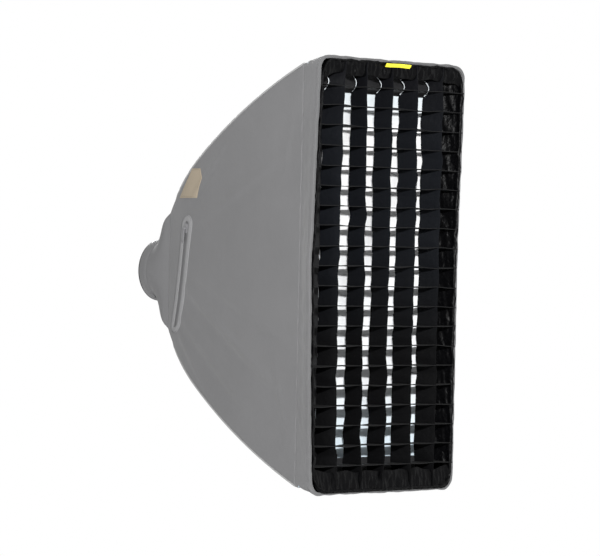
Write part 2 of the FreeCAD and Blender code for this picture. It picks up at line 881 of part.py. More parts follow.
split = "(face_height / 2 - lip_split)"
top_lip = lip_loop("top_lip")
sketch = new_sketch(top_lip, "XZ_Plane")
rectangle(sketch, "-face_width", "face_width", "-face_height", split)
pocket(top_lip, sketch, "total_depth * 3", both=True)
node(top_lip, "top_lip")
mirrored(top_lip, "bottom_lip", UP_DOWN)

left_lip = lip_loop("left_lip")
sketch = new_sketch(left_lip, "XZ_Plane")
edge = f"{split} - body_gap"
rectangle(sketch, "-face_width", "face_width", edge, "face_height")
rectangle(sketch, "-face_width", "face_width", "-face_height", f"-({edge})")
pocket(left_lip, sketch, "total_depth * 3", both=True)
sketch = new_sketch(left_lip, "XZ_Plane")
rectangle(sketch, "0", "face_width", "-face_height", "face_height")
pocket(left_lip, sketch, "total_depth * 3", both=True)
node(left_lip, "left_lip")
mirrored(left_lip, "right_lip", LEFT_RIGHT)

# ---- collar from the body's shoulders to the speed ring ------------------------------------------



def many_sided(half_x, half_z, power, depth):
    """Corners of an outline between a circle (power 1) and a rectangle (small power)."""
    corners = []
    for i in range(COLLAR_SIDES):
        turn = 2 * math.pi * (i + 0.5) / COLLAR_SIDES
        across, up = math.cos(turn), math.sin(turn)
        x = half_x * math.copysign(abs(across) ** power, across)
        z = half_z * math.copysign(abs(up) ** power, up)
        corners.append(vector(x, -depth, z))
    return corners


def collar(inset, radius):
    """A solid between the body's shoulder and the ring, in flat triangles."""
    outlines = []
    for place in ("shoulder", "collar_middle"):
        half_x = size(place + "_width") / 2 - inset
        half_z = size(place + "_height") / 2 - inset
        outlines.append(many_sided(half_x, half_z, SQUARE_POWER, size(place + "_depth")))
    outlines.append(many_sided(radius, radius, 1, size("collar_depth")))
    return skinned(outlines)


def round_collar(radius):
    length = size("collar_depth") - size("collar_start")
    start = vector(0, -size("collar_start"), 0)
    return Part.makeCylinder(radius, length, start, vector(0, -1, 0))


around = size("ring_radius") + size("collar_ease")
cuff = round_collar(around + size("cloth")).cut(round_collar(size("ring_radius")))
flare = collar(0, around + size("cloth")).cut(collar(size("cloth"), around))
plain_shape("neck_sleeve", flare.fuse(cuff))

body = new_body("collar_band")
sketch = new_sketch(body, "XY_Plane")
band_out = "ring_radius + collar_ease + cloth + band_thickness"
outline(
    sketch,
    [
        ("ring_radius + collar_ease + cloth", "-band_end"),
        (band_out, "-band_end"),
        (band_out, "-band_start"),
        ("ring_radius + collar_ease + cloth", "-band_start"),
    ],
)
turned(body, sketch, "V_Axis")
node(body, "collar_band")

# ---- inner baffle and its straps -----------------------------------------------------------------

body = new_body("inner_baffle")
sketch = new_sketch(body, "XZ_Plane", "baffle_depth")
rounded(sketch, "baffle_width / 2", "baffle_height / 2", "hem_width")
pad(body, sketch, "sheet")
node(body, "inner_baffle")

body = new_body("baffle_straps_blank")
sketch = new_sketch(body, "XZ_Plane", "baffle_depth")
for side in (1, -1):
    for up in (1, -1):
        inner_end = f"{side} * (baffle_width / 2 - strap_lap)"
        outer_end = f"{side} * (baffle_width / 2 + strap_reach)"
        left, right = (inner_end, outer_end) if side > 0 else (outer_end, inner_end)
        centre = f"{up} * strap_height"
        rectangle(sketch, left, right, f"{centre} - strap_width / 2", f"{centre} + strap_width / 2")
pad(body, sketch, "sheet", back=True)
straps = boolean("Cut", "baffle_straps_right", body, outside_right)
straps = boolean("Cut", "baffle_straps", straps, outside_left)
node(straps, "baffle_straps")

GRID_FRONT = "(total_depth + grid_proud)"
GRID_REAR = f"({GRID_FRONT} - grid_length)"
DIFFUSER = f"({GRID_REAR} - diffuser_gap)"
COLUMN_PITCH = "((face_width - end_columns) / (grid_columns - 2))"
ROW_PITCH = "((face_height - end_rows) / (grid_rows - 2))"

# ---- front diffuser ------------------------------------------------------------------------------

hem_corner = "(grid_corner - lip_flare / 2)"
body = new_body("front_diffuser")
sketch = new_sketch(body, "XZ_Plane", f"{DIFFUSER} - sheet")
fit = "cloth + body_gap"
half_x = lip_half("width", f"{DIFFUSER} - sheet", fit)
half_z = lip_half("height", f"{DIFFUSER} - sheet", fit)
rounded(sketch, half_x, half_z, hem_corner)
pad(body, sketch, "sheet")
node(body, "front_diffuser")

body = new_body("diffuser_hem")
sketch = new_sketch(body, "XZ_Plane", f"{DIFFUSER} - sheet - hem_thickness")
half_x = lip_half("width", f"{DIFFUSER} - sheet - hem_thickness", fit)
half_z = lip_half("height", f"{DIFFUSER} - sheet - hem_thickness", fit)
rounded(sketch, half_x, half_z, hem_corner)
rounded(sketch, f"({half_x} - hem_width)", f"({half_z} - hem_width)", f"({hem_corner} - hem_width)")
pad(body, sketch, "hem_thickness")
node(body, "diffuser_hem")

# ---- fabric grid: a perimeter wall and slotted strips that halve into each other -----------------

rear_corner = "(grid_corner - lip_flare)"
body = new_body("grid_frame")
tapered(body, GRID_REAR, GRID_FRONT, fit, rear_corner, "grid_corner", "AdditiveLoft")
wall = f"{fit} + grid_wall"
inner_corners = (f"({rear_corner} - grid_wall)", "(grid_corner - grid_wall)")
tapered(body, GRID_REAR, GRID_FRONT, wall, inner_corners[0], inner_corners[1], "SubtractiveLoft")
node(body, "grid_frame")


def grid_inside(name):
    body = new_body(name)
    tapered(body, GRID_REAR, GRID_FRONT, wall, inner_corners[0], inner_corners[1], "AdditiveLoft")
    return body


first_x = f"(-(grid_columns - 2) / 2 * {COLUMN_PITCH})"
first_z = f"(-(grid_rows - 2) / 2 * {ROW_PITCH})"
half_strip = "grid_strip / 2"
half_slot = "(grid_strip / 2 + grid_play)"
middle = f"({GRID_FRONT} + {GRID_REAR}) / 2"

body = new_body("grid_vertical_strips_blank")
sketch = new_sketch(body, "XZ_Plane", GRID_REAR)
across = (f"{first_x} - {half_strip}", f"{first_x} + {half_strip}")
rectangle(sketch, *across, "-face_height / 2", "face_height / 2")
strip = pad(body, sketch, f"{GRID_FRONT} - {GRID_REAR}")
pattern(body, [strip], "LinearPattern", "X_Axis", "grid_columns - 1", f"(grid_columns - 2) * {COLUMN_PITCH}")
sketch = new_sketch(body, "YZ_Plane")
across = (f"{first_z} - {half_slot}", f"{first_z} + {half_slot}")
rectangle(sketch, f"-{GRID_FRONT} - 1", f"-{middle} + grid_play", *across)
slot = pocket(body, sketch, "face_width", both=True)
pattern(body, [slot], "LinearPattern", "Z_Axis", "grid_rows - 1", f"(grid_rows - 2) * {ROW_PITCH}")
strips = boolean("Common", "grid_vertical_strips", body, grid_inside("inside_for_columns"))
node(strips, "grid_vertical_strips")

body = new_body("grid_horizontal_strips_blank")
sketch = new_sketch(body, "XZ_Plane", GRID_REAR)
across = (f"{first_z} - {half_strip}", f"{first_z} + {half_strip}")
rectangle(sketch, "-face_width / 2", "face_width / 2", *across)
strip = pad(body, sketch, f"{GRID_FRONT} - {GRID_REAR}")
pattern(body, [strip], "LinearPattern", "Z_Axis", "grid_rows - 1", f"(grid_rows - 2) * {ROW_PITCH}")
sketch = new_sketch(body, "XY_Plane")
across = (f"{first_x} - {half_slot}", f"{first_x} + {half_slot}")
rectangle(sketch, *across, f"-{middle} - grid_play", f"-{GRID_REAR} + 1")
slot = pocket(body, sketch, "face_height", both=True)
pattern(body, [slot], "LinearPattern", "X_Axis", "grid_columns - 1", f"(grid_columns - 2) * {COLUMN_PITCH}")
strips = boolean("Common", "grid_horizontal_strips", body, grid_inside("inside_for_rows"))
node(strips, "grid_horizontal_strips")

body = new_body("grid_pull_tab")
sketch = new_sketch(body, "XZ_Plane", GRID_FRONT)
top = lip_half("height", GRID_FRONT, f"{fit} + body_gap")
rectangle(sketch, "tab_centre - tab_width / 2", "tab_centre + tab_width / 2", f"{top} - tab_height", top)
pad(body, sketch, "tab_thickness")
node(body, "grid_pull_tab")

# ---- side zip, its slider and pull, and the tab over a rib ---------------------------------------

welt = side_band("zip_welt", "0", "welt_thickness", -1)
keep_inside(welt, "YZ_Plane", leaning("welt_half_width", "zip_height / 2", "welt_half_width * 1.02"))
sketch = new_sketch(welt, "YZ_Plane")
outline(sketch, leaning("welt_slot", "zip_height / 2 - welt_slot", "welt_slot * 1.02"))
pocket(welt, sketch, "face_width * 2", both=True)
node(welt, "zip_welt")

tape = side_band("zip_tape", "-cloth - sheet", "-cloth", -1)
keep_inside(tape, "YZ_Plane", leaning("tape_half_width", "zip_height / 2", "tape_half_width * 1.02"))
node(tape, "zip_tape")

coil = side_band("zip_coil", "-cloth", "coil_proud", -1)
coil_area = leaning("coil_half_width", "zip_height / 2 - welt_slot", "coil_half_width * 1.02")
keep_inside(coil, "YZ_Plane", coil_area)
node(coil, "zip_coil")

rib_tab = side_band("rib_tab", "patch_gap", "patch_gap + patch_thickness", -1)
PATCH = [(148, 160), (207, 224), (240, 224), (249, 203), (228, 160)]
keep_inside(rib_tab, "YZ_Plane", [(f"-{depth}", f"{height}") for depth, height in PATCH])
node(rib_tab, "rib_tab")


def zip_place(along_zip):
    """Place on the zip's line: local z is out of the panel, local y is up along the zip."""
    depth = size("zip_depth") + size("zip_lean") * along_zip
    wide, slope = surface(depth, True)
    spot = vector(-wide, -depth, size("zip_middle") + along_zip)
    upwards = vector(-slope * size("zip_lean"), -size("zip_lean"), 1).normalize()
    outwards = vector(-1, slope, 0).normalize()
    outwards = (outwards - upwards * outwards.dot(upwards)).normalize()
    across = upwards.cross(outwards)
    return FreeCAD.Placement(spot, FreeCAD.Rotation(across, upwards, outwards, "ZXY"))


place = zip_place(size("slider_start"))
slider_floor = "(coil_proud + slider_gap)"
slider_top = f"({slider_floor} + slider_height)"
pin_lift = f"({slider_top} + pull_lift)"

body = new_body("zip_slider")
sketch = new_sketch(body, "XY_Plane", slider_floor)
rounded(sketch, "slider_width / 2", "slider_length / 2", "slider_width / 4")
pad(body, sketch, "slider_height")
for side in (1, -1):
    inner = "pull_eye_width / 2 + run_gap"
    lift = inner if side > 0 else f"-({inner}) - post_width"
    sketch = new_sketch(body, "YZ_Plane", lift)
    post_top = f"{pin_lift} + pull_pin * 2"
    rectangle(sketch, "-pull_pin * 2", "pull_pin * 2", f"{slider_top} - 0.5", post_top)
    pad(body, sketch, "post_width")
sketch = new_sketch(body, "YZ_Plane")
circle(sketch, "0", pin_lift, "pull_pin")
pad(body, sketch, "pull_eye_width + post_width", both=True)
body.Placement = place
node(body, "zip_slider")

body = new_body("zip_pull")
sketch = new_sketch(body, "YZ_Plane")
circle(sketch, "0", pin_lift, "pull_eye")
pad(body, sketch, "pull_eye_width", both=True)
sketch = new_sketch(body, "XY_Plane", f"{pin_lift} - pull_thickness / 2")
neck = "pull_eye_width / 2"
outline(
    sketch,
    [
        (f"-({neck})", "-pull_pin"),
        (f"-({neck})", "-pull_eye * 3"),
        ("-pull_width / 2", "-pull_eye * 5"),
        ("-pull_width / 2", "-pull_length + pull_width / 2"),
        ("-pull_width / 4", "-pull_length"),
        ("pull_width / 4", "-pull_length"),
        ("pull_width / 2", "-pull_length + pull_width / 2"),
        ("pull_width / 2", "-pull_eye * 5"),
        (neck, "-pull_eye * 3"),
        (neck, "-pull_pin"),
    ],
)
pad(body, sketch, "pull_thickness")
sketch = new_sketch(body, "YZ_Plane")
circle(sketch, "0", pin_lift, "pull_pin + pull_play")
pocket(body, sketch, "pull_width * 2", both=True)
body.Placement = place
node(body, "zip_pull")

# ---- checks, then one file for each piece --------------------------------------------------------

doc.recompute()
for thing in doc.Objects:
    if "Invalid" in thing.State or "Error" in thing.State:
        raise RuntimeError("%s did not build: %s" % (thing.Name, thing.State))
for name, thing in NODES.items():
    if thing.Shape.isNull() or not thing.Shape.isValid() or not thing.Shape.Solids:
        raise RuntimeError("%s has no sound shape" % name)
os.makedirs("parts", exist_ok=True)
for name, thing in NODES.items():
    thing.Shape.exportStep("parts/%s.step" % name)
print(len(NODES), "pieces written")
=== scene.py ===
"""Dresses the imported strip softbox: fabric shell, egg-crate grid, diffuser, opening and studio."""

import json
import math

import bpy
import numpy as np
from mathutils import Matrix, Vector


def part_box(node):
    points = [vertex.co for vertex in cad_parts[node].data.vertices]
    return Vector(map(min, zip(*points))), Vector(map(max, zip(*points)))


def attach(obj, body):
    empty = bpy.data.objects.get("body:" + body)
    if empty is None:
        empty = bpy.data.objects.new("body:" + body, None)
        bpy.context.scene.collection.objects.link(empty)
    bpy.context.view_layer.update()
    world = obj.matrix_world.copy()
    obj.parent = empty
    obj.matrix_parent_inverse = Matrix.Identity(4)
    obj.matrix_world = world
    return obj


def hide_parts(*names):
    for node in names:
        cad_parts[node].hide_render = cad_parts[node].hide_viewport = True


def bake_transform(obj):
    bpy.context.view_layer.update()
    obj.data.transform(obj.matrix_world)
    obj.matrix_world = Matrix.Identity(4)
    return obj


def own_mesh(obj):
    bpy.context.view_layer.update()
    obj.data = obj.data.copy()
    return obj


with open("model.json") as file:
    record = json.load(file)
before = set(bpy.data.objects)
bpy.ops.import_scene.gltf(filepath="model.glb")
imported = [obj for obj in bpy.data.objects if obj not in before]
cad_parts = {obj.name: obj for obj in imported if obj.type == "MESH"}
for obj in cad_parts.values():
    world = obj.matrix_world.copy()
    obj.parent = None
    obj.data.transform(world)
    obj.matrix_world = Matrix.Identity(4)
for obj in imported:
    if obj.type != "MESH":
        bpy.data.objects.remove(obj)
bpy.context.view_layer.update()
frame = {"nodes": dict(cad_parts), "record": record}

# ---- sizes in metres; depth is measured forwards from the light mount, so y = -depth -------------

SHOULDER, KNEE, FRONT, MOUTH = 0.095, 0.234, 0.622, 0.680
# half width (SIDE) and half height (TOP) at the shoulder, the knee and the front, and the radii of
# the two arcs that join them
SIDE = (0.060, 0.118, 0.214, 0.840, 3.174)
TOP = (0.133, 0.248, 0.4415, 0.710, 2.145)
FLARE = 0.016  # how much wider the mouth is than the front of the ribs, on each side
CLOTH = 0.0012
THREAD = 0.0003
SMOOTH_ANGLE = math.radians(50)
HALVES = ((1, "upper"), (-1, "lower"))


def arc(depth, near, far, radius):
    """Height of an arc that bows outwards between two (depth, height) points."""
    (a, b), (c, d) = near, far
    half = math.hypot(c - a, d - b) / 2
    rise = math.sqrt(radius**2 - half**2)
    across, up = (c - a) / (2 * half), (d - b) / (2 * half)
    x, y = (a + c) / 2 + up * rise, (b + d) / 2 - across * rise
    return y + np.sqrt(radius**2 - (depth - x) ** 2)


def half(depth, side):
    """Half width (side) or half height of the body's outside at a depth."""
    depth = np.asarray(depth, float)
    near, knee, far, rear_bow, front_bow = side
    body = np.clip(depth, SHOULDER, FRONT)
    rear = arc(np.minimum(body, KNEE), (SHOULDER, near), (KNEE, knee), rear_bow)
    front = arc(np.maximum(body, KNEE), (KNEE, knee), (FRONT, far), front_bow)
    lip = FLARE * np.clip((depth - FRONT) / (MOUTH - FRONT), 0, 1.15)
    return np.where(body < KNEE, rear, front) + lip


def smooth(x):
    """A soft step from 0 to 1."""
    x = np.clip(x, 0, 1)
    return x * x * (3 - 2 * x)


def waves(u, v, length, seed, count=7):
    """Smooth random ripples of about one unit over a surface."""
    draw = np.random.default_rng(seed)
    total = 0
    for _ in range(count):
        turn, phase = draw.uniform(0, math.tau, 2)
        k = math.tau / length * draw.uniform(0.6, 1.5)
        total = total + np.sin(k * (u * math.cos(turn) + v * math.sin(turn)) + phase)
    return total / math.sqrt(count)


def fold(u, v, start, end, width):
    """Height of a soft fold, 1 on the line from start to end and gone a width away."""
    a, b = np.array(start, float), np.array(end, float)
    line = b - a
    t = ((u - a[0]) * line[0] + (v - a[1]) * line[1]) / line.dot(line)
    near = np.clip(t, 0, 1)
    away = (u - a[0] - near * line[0]) ** 2 + (v - a[1] - near * line[1]) ** 2
    return np.exp(-away / width**2) * np.sin(np.pi * np.clip(0.1 + 0.8 * near, 0, 1))


# ---- materials -----------------------------------------------------------------------------------


def linear(*rgb):
    """Colour as a renderer holds it, from the usual 0 to 255 scale."""
    out = []
    for c in rgb:
        c /= 255
        out.append(c / 12.92 if c <= 0.04045 else ((c + 0.055) / 1.055) ** 2.4)
    return (*out, 1)


def material(name, colour, rough, metal=0.0, **sockets):
    """A plain material; the other sockets are given by name, with _ for a space."""
    made = bpy.data.materials.new(name)
    made.use_nodes = True
    shader = made.node_tree.nodes["Principled BSDF"]
    shader.inputs["Base Color"].default_value = colour
    shader.inputs["Roughness"].default_value = rough
    shader.inputs["Metallic"].default_value = metal
    for word, value in sockets.items():
        shader.inputs[word.replace("_", " ")].default_value = value
    return made


def bump(made, kind, scale, strength, distance, **settings):
    """Adds a procedural relief in the object's own coordinates, on top of any relief before it."""
    tree = made.node_tree
    shader = tree.nodes["Principled BSDF"]
    place = tree.nodes.new("ShaderNodeTexCoord")
    pattern = tree.nodes.new(kind)
    pattern.inputs["Scale"].default_value = scale
    for word, value in settings.items():
        if word == "bands_direction":
            pattern.bands_direction = value
        else:
            pattern.inputs[word].default_value = value
    relief = tree.nodes.new("ShaderNodeBump")
    relief.inputs["Strength"].default_value = strength
    relief.inputs["Distance"].default_value = distance
    before = shader.inputs["Normal"].links
    if before:
        tree.links.new(before[0].from_socket, relief.inputs["Normal"])
    tree.links.new(place.outputs["Object"], pattern.inputs["Vector"])
    tree.links.new(pattern.outputs[0], relief.inputs["Height"])
    tree.links.new(relief.outputs["Normal"], shader.inputs["Normal"])
    return made


def mottle(made, colour_a, colour_b, scale):
    """Drives the base colour between two near colours by a soft noise."""
    tree = made.node_tree
    place = tree.nodes.new("ShaderNodeTexCoord")
    noise = tree.nodes.new("ShaderNodeTexNoise")
    noise.inputs["Scale"].default_value = scale
    noise.inputs["Detail"].default_value = 3.0
    ramp = tree.nodes.new("ShaderNodeValToRGB")
    stops = ramp.color_ramp.elements
    stops[0].position, stops[0].color = 0.35, colour_a
    stops[1].position, stops[1].color = 0.65, colour_b
    tree.links.new(place.outputs["Object"], noise.inputs["Vector"])
    tree.links.new(noise.outputs["Fac"], ramp.inputs["Fac"])
    tree.links.new(ramp.outputs["Color"], tree.nodes["Principled BSDF"].inputs["Base Color"])
    return made


def woven(made, axes, pitch, strength):
    """A plain weave: ribs along two axes."""
    for axis in axes:
        scale = math.tau / pitch / 20  # the wave texture has 20 / tau bands a unit at scale 1
        bump(made, "ShaderNodeTexWave", scale, strength, 0.0004, bands_direction=axis)
    return made


def shell_cloth(name, axes, grey=(107, 107, 108)):
    """The grey coated nylon of the body, with its weave along two axes."""
    sheen = {"Sheen_Weight": 0.15, "Sheen_Roughness": 0.5}
    made = material(name, linear(*grey), 0.78, Specular_IOR_Level=0.25, **sheen)
    mottle(made, linear(*[c * 0.99 for c in grey]), linear(*[c * 1.015 for c in grey]), 9.0)
    woven(made, axes, 0.0011, 0.12)
    bump(made, "ShaderNodeTexNoise", 55.0, 0.16, 0.004, Detail=4.0)
    return made


shell_side = shell_cloth("shell_fabric_side", "YZ")
shell_top = shell_cloth("shell_fabric_top", "XY")
lip_cloth = shell_cloth("lip_fabric", "XZ")
# the collar's copy of the shell cloth is a little darker, as painted shade, so that it renders no
# lighter than the body beside it
collar_fabric = shell_cloth("collar_fabric", "YZ", (102, 102, 103))
piping = material("piping_cord", linear(150, 150, 150), 0.6)
lining = material("silver_lining", linear(205, 206, 208), 0.34, 0.85)
bump(lining, "ShaderNodeTexVoronoi", 320.0, 0.35, 0.0012)
bump(lining, "ShaderNodeTexNoise", 60.0, 0.3, 0.004, Detail=3.0)

black = material(
    "grid_fabric", (0.0040, 0.0044, 0.0062, 1), 0.6, Sheen_Weight=0.01, Specular_IOR_Level=0.10
)
bump(black, "ShaderNodeTexNoise", 90.0, 0.30, 0.004, Detail=5.0)
black_shiny = material(
    "grid_hem_fabric", (0.0013, 0.0013, 0.0016, 1), 0.38, Specular_IOR_Level=0.07
)
bump(black_shiny, "ShaderNodeTexNoise", 60.0, 0.5, 0.006, Detail=3.0, Distortion=0.6)
hem_thread = material("grid_hem_fold", linear(11, 11, 12), 0.6, Specular_IOR_Level=0.2)
# painted highlight: a near-white colour for the columns' rear edges in the top cells
painted_highlight = material("grid_painted_highlight", linear(214, 220, 224), 0.6)

diffusing = material("diffuser_fabric", linear(250, 251, 252), 0.75)
baffle_cloth = material("baffle_fabric", linear(244, 245, 246), 0.8)
yellow = material("tab_yellow", linear(250, 242, 60), 0.65)
tan = material("tab_tan", linear(158, 146, 128), 0.8)
webbing = material("strap_webbing", linear(28, 28, 30), 0.7)
elastic = material("elastic_band", linear(104, 104, 105), 0.78)
zip_loop = material("zip_welt_fabric", linear(138, 138, 139), 0.75)
zip_dark = material("zip_tape_fabric", linear(110, 110, 111), 0.8)
zip_teeth = material("zip_coil_nylon", linear(106, 106, 107), 0.6)
zip_metal = material("zip_metal", linear(118, 118, 120), 0.45)
thread = material("thread_grey", linear(100, 100, 101), 0.8)
thread_tan = material("thread_tan", linear(140, 129, 112), 0.8)
ring_metal = material("ring_metal", linear(48, 48, 50), 0.42, 0.6)
insert_metal = material("insert_metal", linear(168, 168, 170), 0.32, 0.95)
steel = material("fastener_steel", linear(150, 150, 152), 0.3, 1.0)
knob = material("knob_plastic", linear(26, 26, 27), 0.5)
yoke = material("yoke_plastic", linear(30, 30, 31), 0.55)
rib_metal = material("rib_metal", linear(120, 120, 123), 0.35, 0.9)
tip = material("tip_plastic", linear(34, 34, 35), 0.5)
for made in (yellow, tan, webbing, zip_loop, zip_dark, elastic):
    woven(made, "YZ" if made in (tan, zip_loop, zip_dark) else "XZ", 0.0016, 0.25)
for made in (ring_metal, knob, yoke, tip):
    bump(made, "ShaderNodeTexNoise", 900.0, 0.1, 0.0004, Detail=2.0)


def by_height(made, foot, head, between):
    """Colours a material by height, from 0.5 m under the middle (0) to 0.5 m over it (1)."""
    tree = made.node_tree
    place = tree.nodes.new("ShaderNodeTexCoord")
    split = tree.nodes.new("ShaderNodeSeparateXYZ")
    lifted = tree.nodes.new("ShaderNodeMath")
    lifted.operation = "ADD"
    lifted.inputs[1].default_value = 0.5
    ramp = tree.nodes.new("ShaderNodeValToRGB")
    stops = ramp.color_ramp.elements
    for stop, (height, colour) in zip(stops, (foot, head)):
        stop.position, stop.color = height, linear(*colour)
    for height, colour in between:
        stops.new(height).color = linear(*colour)
    tree.links.new(place.outputs["Object"], split.inputs["Vector"])
    tree.links.new(split.outputs["Z"], lifted.inputs[0])
    tree.links.new(lifted.outputs[0], ramp.inputs["Fac"])
    tree.links.new(ramp.outputs["Color"], tree.nodes["Principled BSDF"].inputs["Base Color"])


# painted shade on the diffuser: white over most of it, light blue near its top and greyer near its
# foot
whites = [(0.17, (235, 248, 255)), (0.27, (250, 253, 255)), (0.80, (255, 255, 255))]
by_height(diffusing, (0.07, (190, 208, 220)), (0.92, (228, 242, 248)), whites)
# painted light and shade on the grid's black: it is a little bluer and lighter from its middle up
blacks = [(0.35, (6, 6, 7)), (0.58, (15, 17, 21)), (0.80, (14, 16, 20))]
by_height(black, (0.10, (4, 4, 5)), (0.95, (9, 9, 12)), blacks)
woven(diffusing, "XZ", 0.0013, 0.1)
woven(baffle_cloth, "XZ", 0.0013, 0.15)

NODE_LOOKS = {
    "insert_metal": insert_metal,
    "ring_metal": ring_metal,
    "fastener_steel": steel,
    "knob_plastic": knob,
    "yoke_plastic": yoke,
    "rib_metal": rib_metal,
    "tip_plastic": tip,
    "strap_webbing": webbing,
    "zip_metal": zip_metal,
}
for part in frame["record"]["subparts"]:
    look = NODE_LOOKS.get(part["material_slot"])
    if look is None:
        continue
    shown = frame["nodes"][part["node"]]
    for slot in shown.material_slots:
        slot.link = "OBJECT"
        slot.material = look
    if not shown.material_slots:
        shown.data.materials.append(look)
    softened = shown.modifiers.new("edges", "BEVEL")
    softened.width = 0.0004
    softened.segments = 2
    softened.limit_method = "ANGLE"
    softened.angle_limit = math.radians(40)

# ---- mesh makers ---------------------------------------------------------------------------------


def add_mesh(name, points, faces, looks, index=None):
    """A smooth-shaded mesh in the scene, with the material number of each face in index."""
    made = bpy.data.meshes.new(name)
    made.from_pydata([tuple(p) for p in points], [], [tuple(f) for f in faces])
    for look in looks:
        made.materials.append(look)
    if index is not None:
        made.polygons.foreach_set("material_index", np.asarray(index, np.int32))
    made.polygons.foreach_set("use_smooth", np.ones(len(faces), bool))
    made.set_sharp_from_angle(angle=SMOOTH_ANGLE)
    made.update()
    thing = bpy.data.objects.new(name, made)
    bpy.context.scene.collection.objects.link(thing)
    return thing


def facing(points, away):
    """Unit normals of a grid of points, turned away from a place."""
    du, dv = np.gradient(points, axis=0), np.gradient(points, axis=1)
    normal = np.cross(du, dv)
    normal /= np.maximum(np.linalg.norm(normal, axis=2, keepdims=True), 1e-12)
    sign = 1 if (normal * (points - np.asarray(away, float))).sum() >= 0 else -1
    return normal * sign, sign


def quads(rows, cols, start, flip):
    """Faces over a grid of points that are numbered row by row from start."""
    i, j = np.meshgrid(np.arange(rows - 1), np.arange(cols - 1), indexing="ij")
    a = start + (i * cols + j).ravel()
    found = np.stack([a, a + cols, a + cols + 1, a + 1], axis=1)
    return found[:, ::-1] if flip else found


def sheet_parts(points, away, thick):
    """Points and faces (outer, inner, rim) of a sheet whose outer face looks away from a place."""
    rows, cols = points.shape[:2]
    normal, sign = facing(points, away)
    depth = np.broadcast_to(np.asarray(thick, float), (rows, cols))[..., None]
    inner = points - normal * depth
    every = np.concatenate([points.reshape(-1, 3), inner.reshape(-1, 3)])
    count = rows * cols
    outside = quads(rows, cols, 0, sign < 0)
    inside = quads(rows, cols, count, sign > 0)
    ring = [i * cols for i in range(rows)]
    ring += [(rows - 1) * cols + j for j in range(1, cols)]
    ring += [i * cols + cols - 1 for i in range(rows - 2, -1, -1)]
    ring += list(range(cols - 2, 0, -1))
    ring = np.array(ring)
    after = np.roll(ring, -1)
    rim = np.stack([ring, ring + count, after + count, after], axis=1)
    if sign < 0:
        rim = rim[:, ::-1]
    return every, (outside, inside, rim)


def cloth(name, points, away, looks, thick=CLOTH):
    """A sheet of its own, with its lining's material on the inner face where it has one."""
    every, (outside, inside, rim) = sheet_parts(points, away, thick)
    faces = np.concatenate([outside, inside, rim])
    index = np.zeros(len(faces), int)
    if len(looks) > 1:
        index[len(outside) : len(outside) + len(inside)] = 1
    return add_mesh(name, every, faces, looks, index)


def merge(name, parts, looks):
    """Several (points, faces) lists as one mesh; a third item is the part's material number."""
    points, faces, index, start = [], [], [], 0
    for part in parts:
        spots, found = part[0], part[1]
        points.append(np.asarray(spots, float).reshape(-1, 3))
        faces += [tuple(int(k) + start for k in f) for f in found]
        index += [part[2] if len(part) > 2 else 0] * len(found)
        start += len(points[-1])
    return add_mesh(name, np.concatenate(points), faces, looks, index)


def tube_parts(path, radius, sides):
    """Points and faces of a round tube along a path, with flat ends."""
    path = np.asarray(path, float)
    way = np.gradient(path, axis=0)
    way /= np.maximum(np.linalg.norm(way, axis=1, keepdims=True), 1e-12)
    side = np.cross(way[0], [0.31, 0.87, 0.38])
    points = []
    for k, spot in enumerate(path):
        side = side - way[k] * side.dot(way[k])
        side /= np.linalg.norm(side)
        other = np.cross(way[k], side)
        for s in range(sides):
            a = math.tau * s / sides
            points.append(spot + (side * math.cos(a) + other * math.sin(a)) * radius)
    faces = []
    for k in range(len(path) - 1):
        for s in range(sides):
            a, b = k * sides + s, k * sides + (s + 1) % sides
            faces.append((a, b, b + sides, a + sides))
    faces.append(tuple(range(sides - 1, -1, -1)))
    faces.append(tuple((len(path) - 1) * sides + s for s in range(sides)))
    return np.array(points), faces


def resample(path, step):
    """Points at even steps along a path."""
    path = np.asarray(path, float)
    run = np.concatenate([[0], np.cumsum(np.linalg.norm(np.diff(path, axis=0), axis=1))])
    at = np.arange(0, run[-1], step)
    return np.stack([np.interp(at, run, path[:, k]) for k in range(3)], axis=1)


def stitch_parts(path, pitch=0.0040, length=0.0026):
    """Short thread stitches laid along a path."""
    steps = 6
    path = resample(path, pitch / steps)
    keep = round(length / pitch * steps)
    found = []
    for k in range(0, len(path) - keep, steps):
        found.append(tube_parts(path[k : k + keep + 1 : keep // 2], THREAD, 4))
    return found


def soft(thing):
    """Shell fabric: its placement is baked into its points."""
    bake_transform(thing)


def flattens(thing, body):
    """Cloth of the front or the inside: it rides a body, on a mesh of its own."""
    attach(thing, body)
    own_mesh(thing)


# ---- body panels ---------------------------------------------------------------------------------

CORNER = 0.008
DEPTHS = np.concatenate([np.linspace(SHOULDER, KNEE, 24)[:-1], np.linspace(KNEE, FRONT, 56)])
# start and end (depth, height), width and height of each crease in a side panel
CREASES = (
    ((0.19, -0.035), (0.56, -0.250), 0.012, 0.0022),
    ((0.17, -0.100), (0.50, -0.330), 0.014, 0.0020),
    ((0.22, 0.000), (0.60, -0.150), 0.013, 0.0013),
    ((0.15, -0.130), (0.36, -0.330), 0.010, 0.0016),
    ((0.20, 0.150), (0.36, 0.290), 0.008, 0.0011),
    ((0.26, 0.110), (0.60, 0.270), 0.016, 0.0012),
    ((0.60, -0.390), (0.54, -0.180), 0.010, 0.0012),
    ((0.60, 0.400), (0.56, 0.200), 0.010, 0.0010),
)
CREASE_GAIN = 2.6
SAG = 0.0020  # how far the tight cloth draws in between the ribs


def free(depth, across):
    """How free the cloth is to move: 0 at a panel's seams (across 1) and ends, 1 in its middle."""
    ends = smooth((depth - SHOULDER) / 0.05) * smooth((FRONT + 0.012 - depth) / 0.05)
    return ends * (1 - across**5)


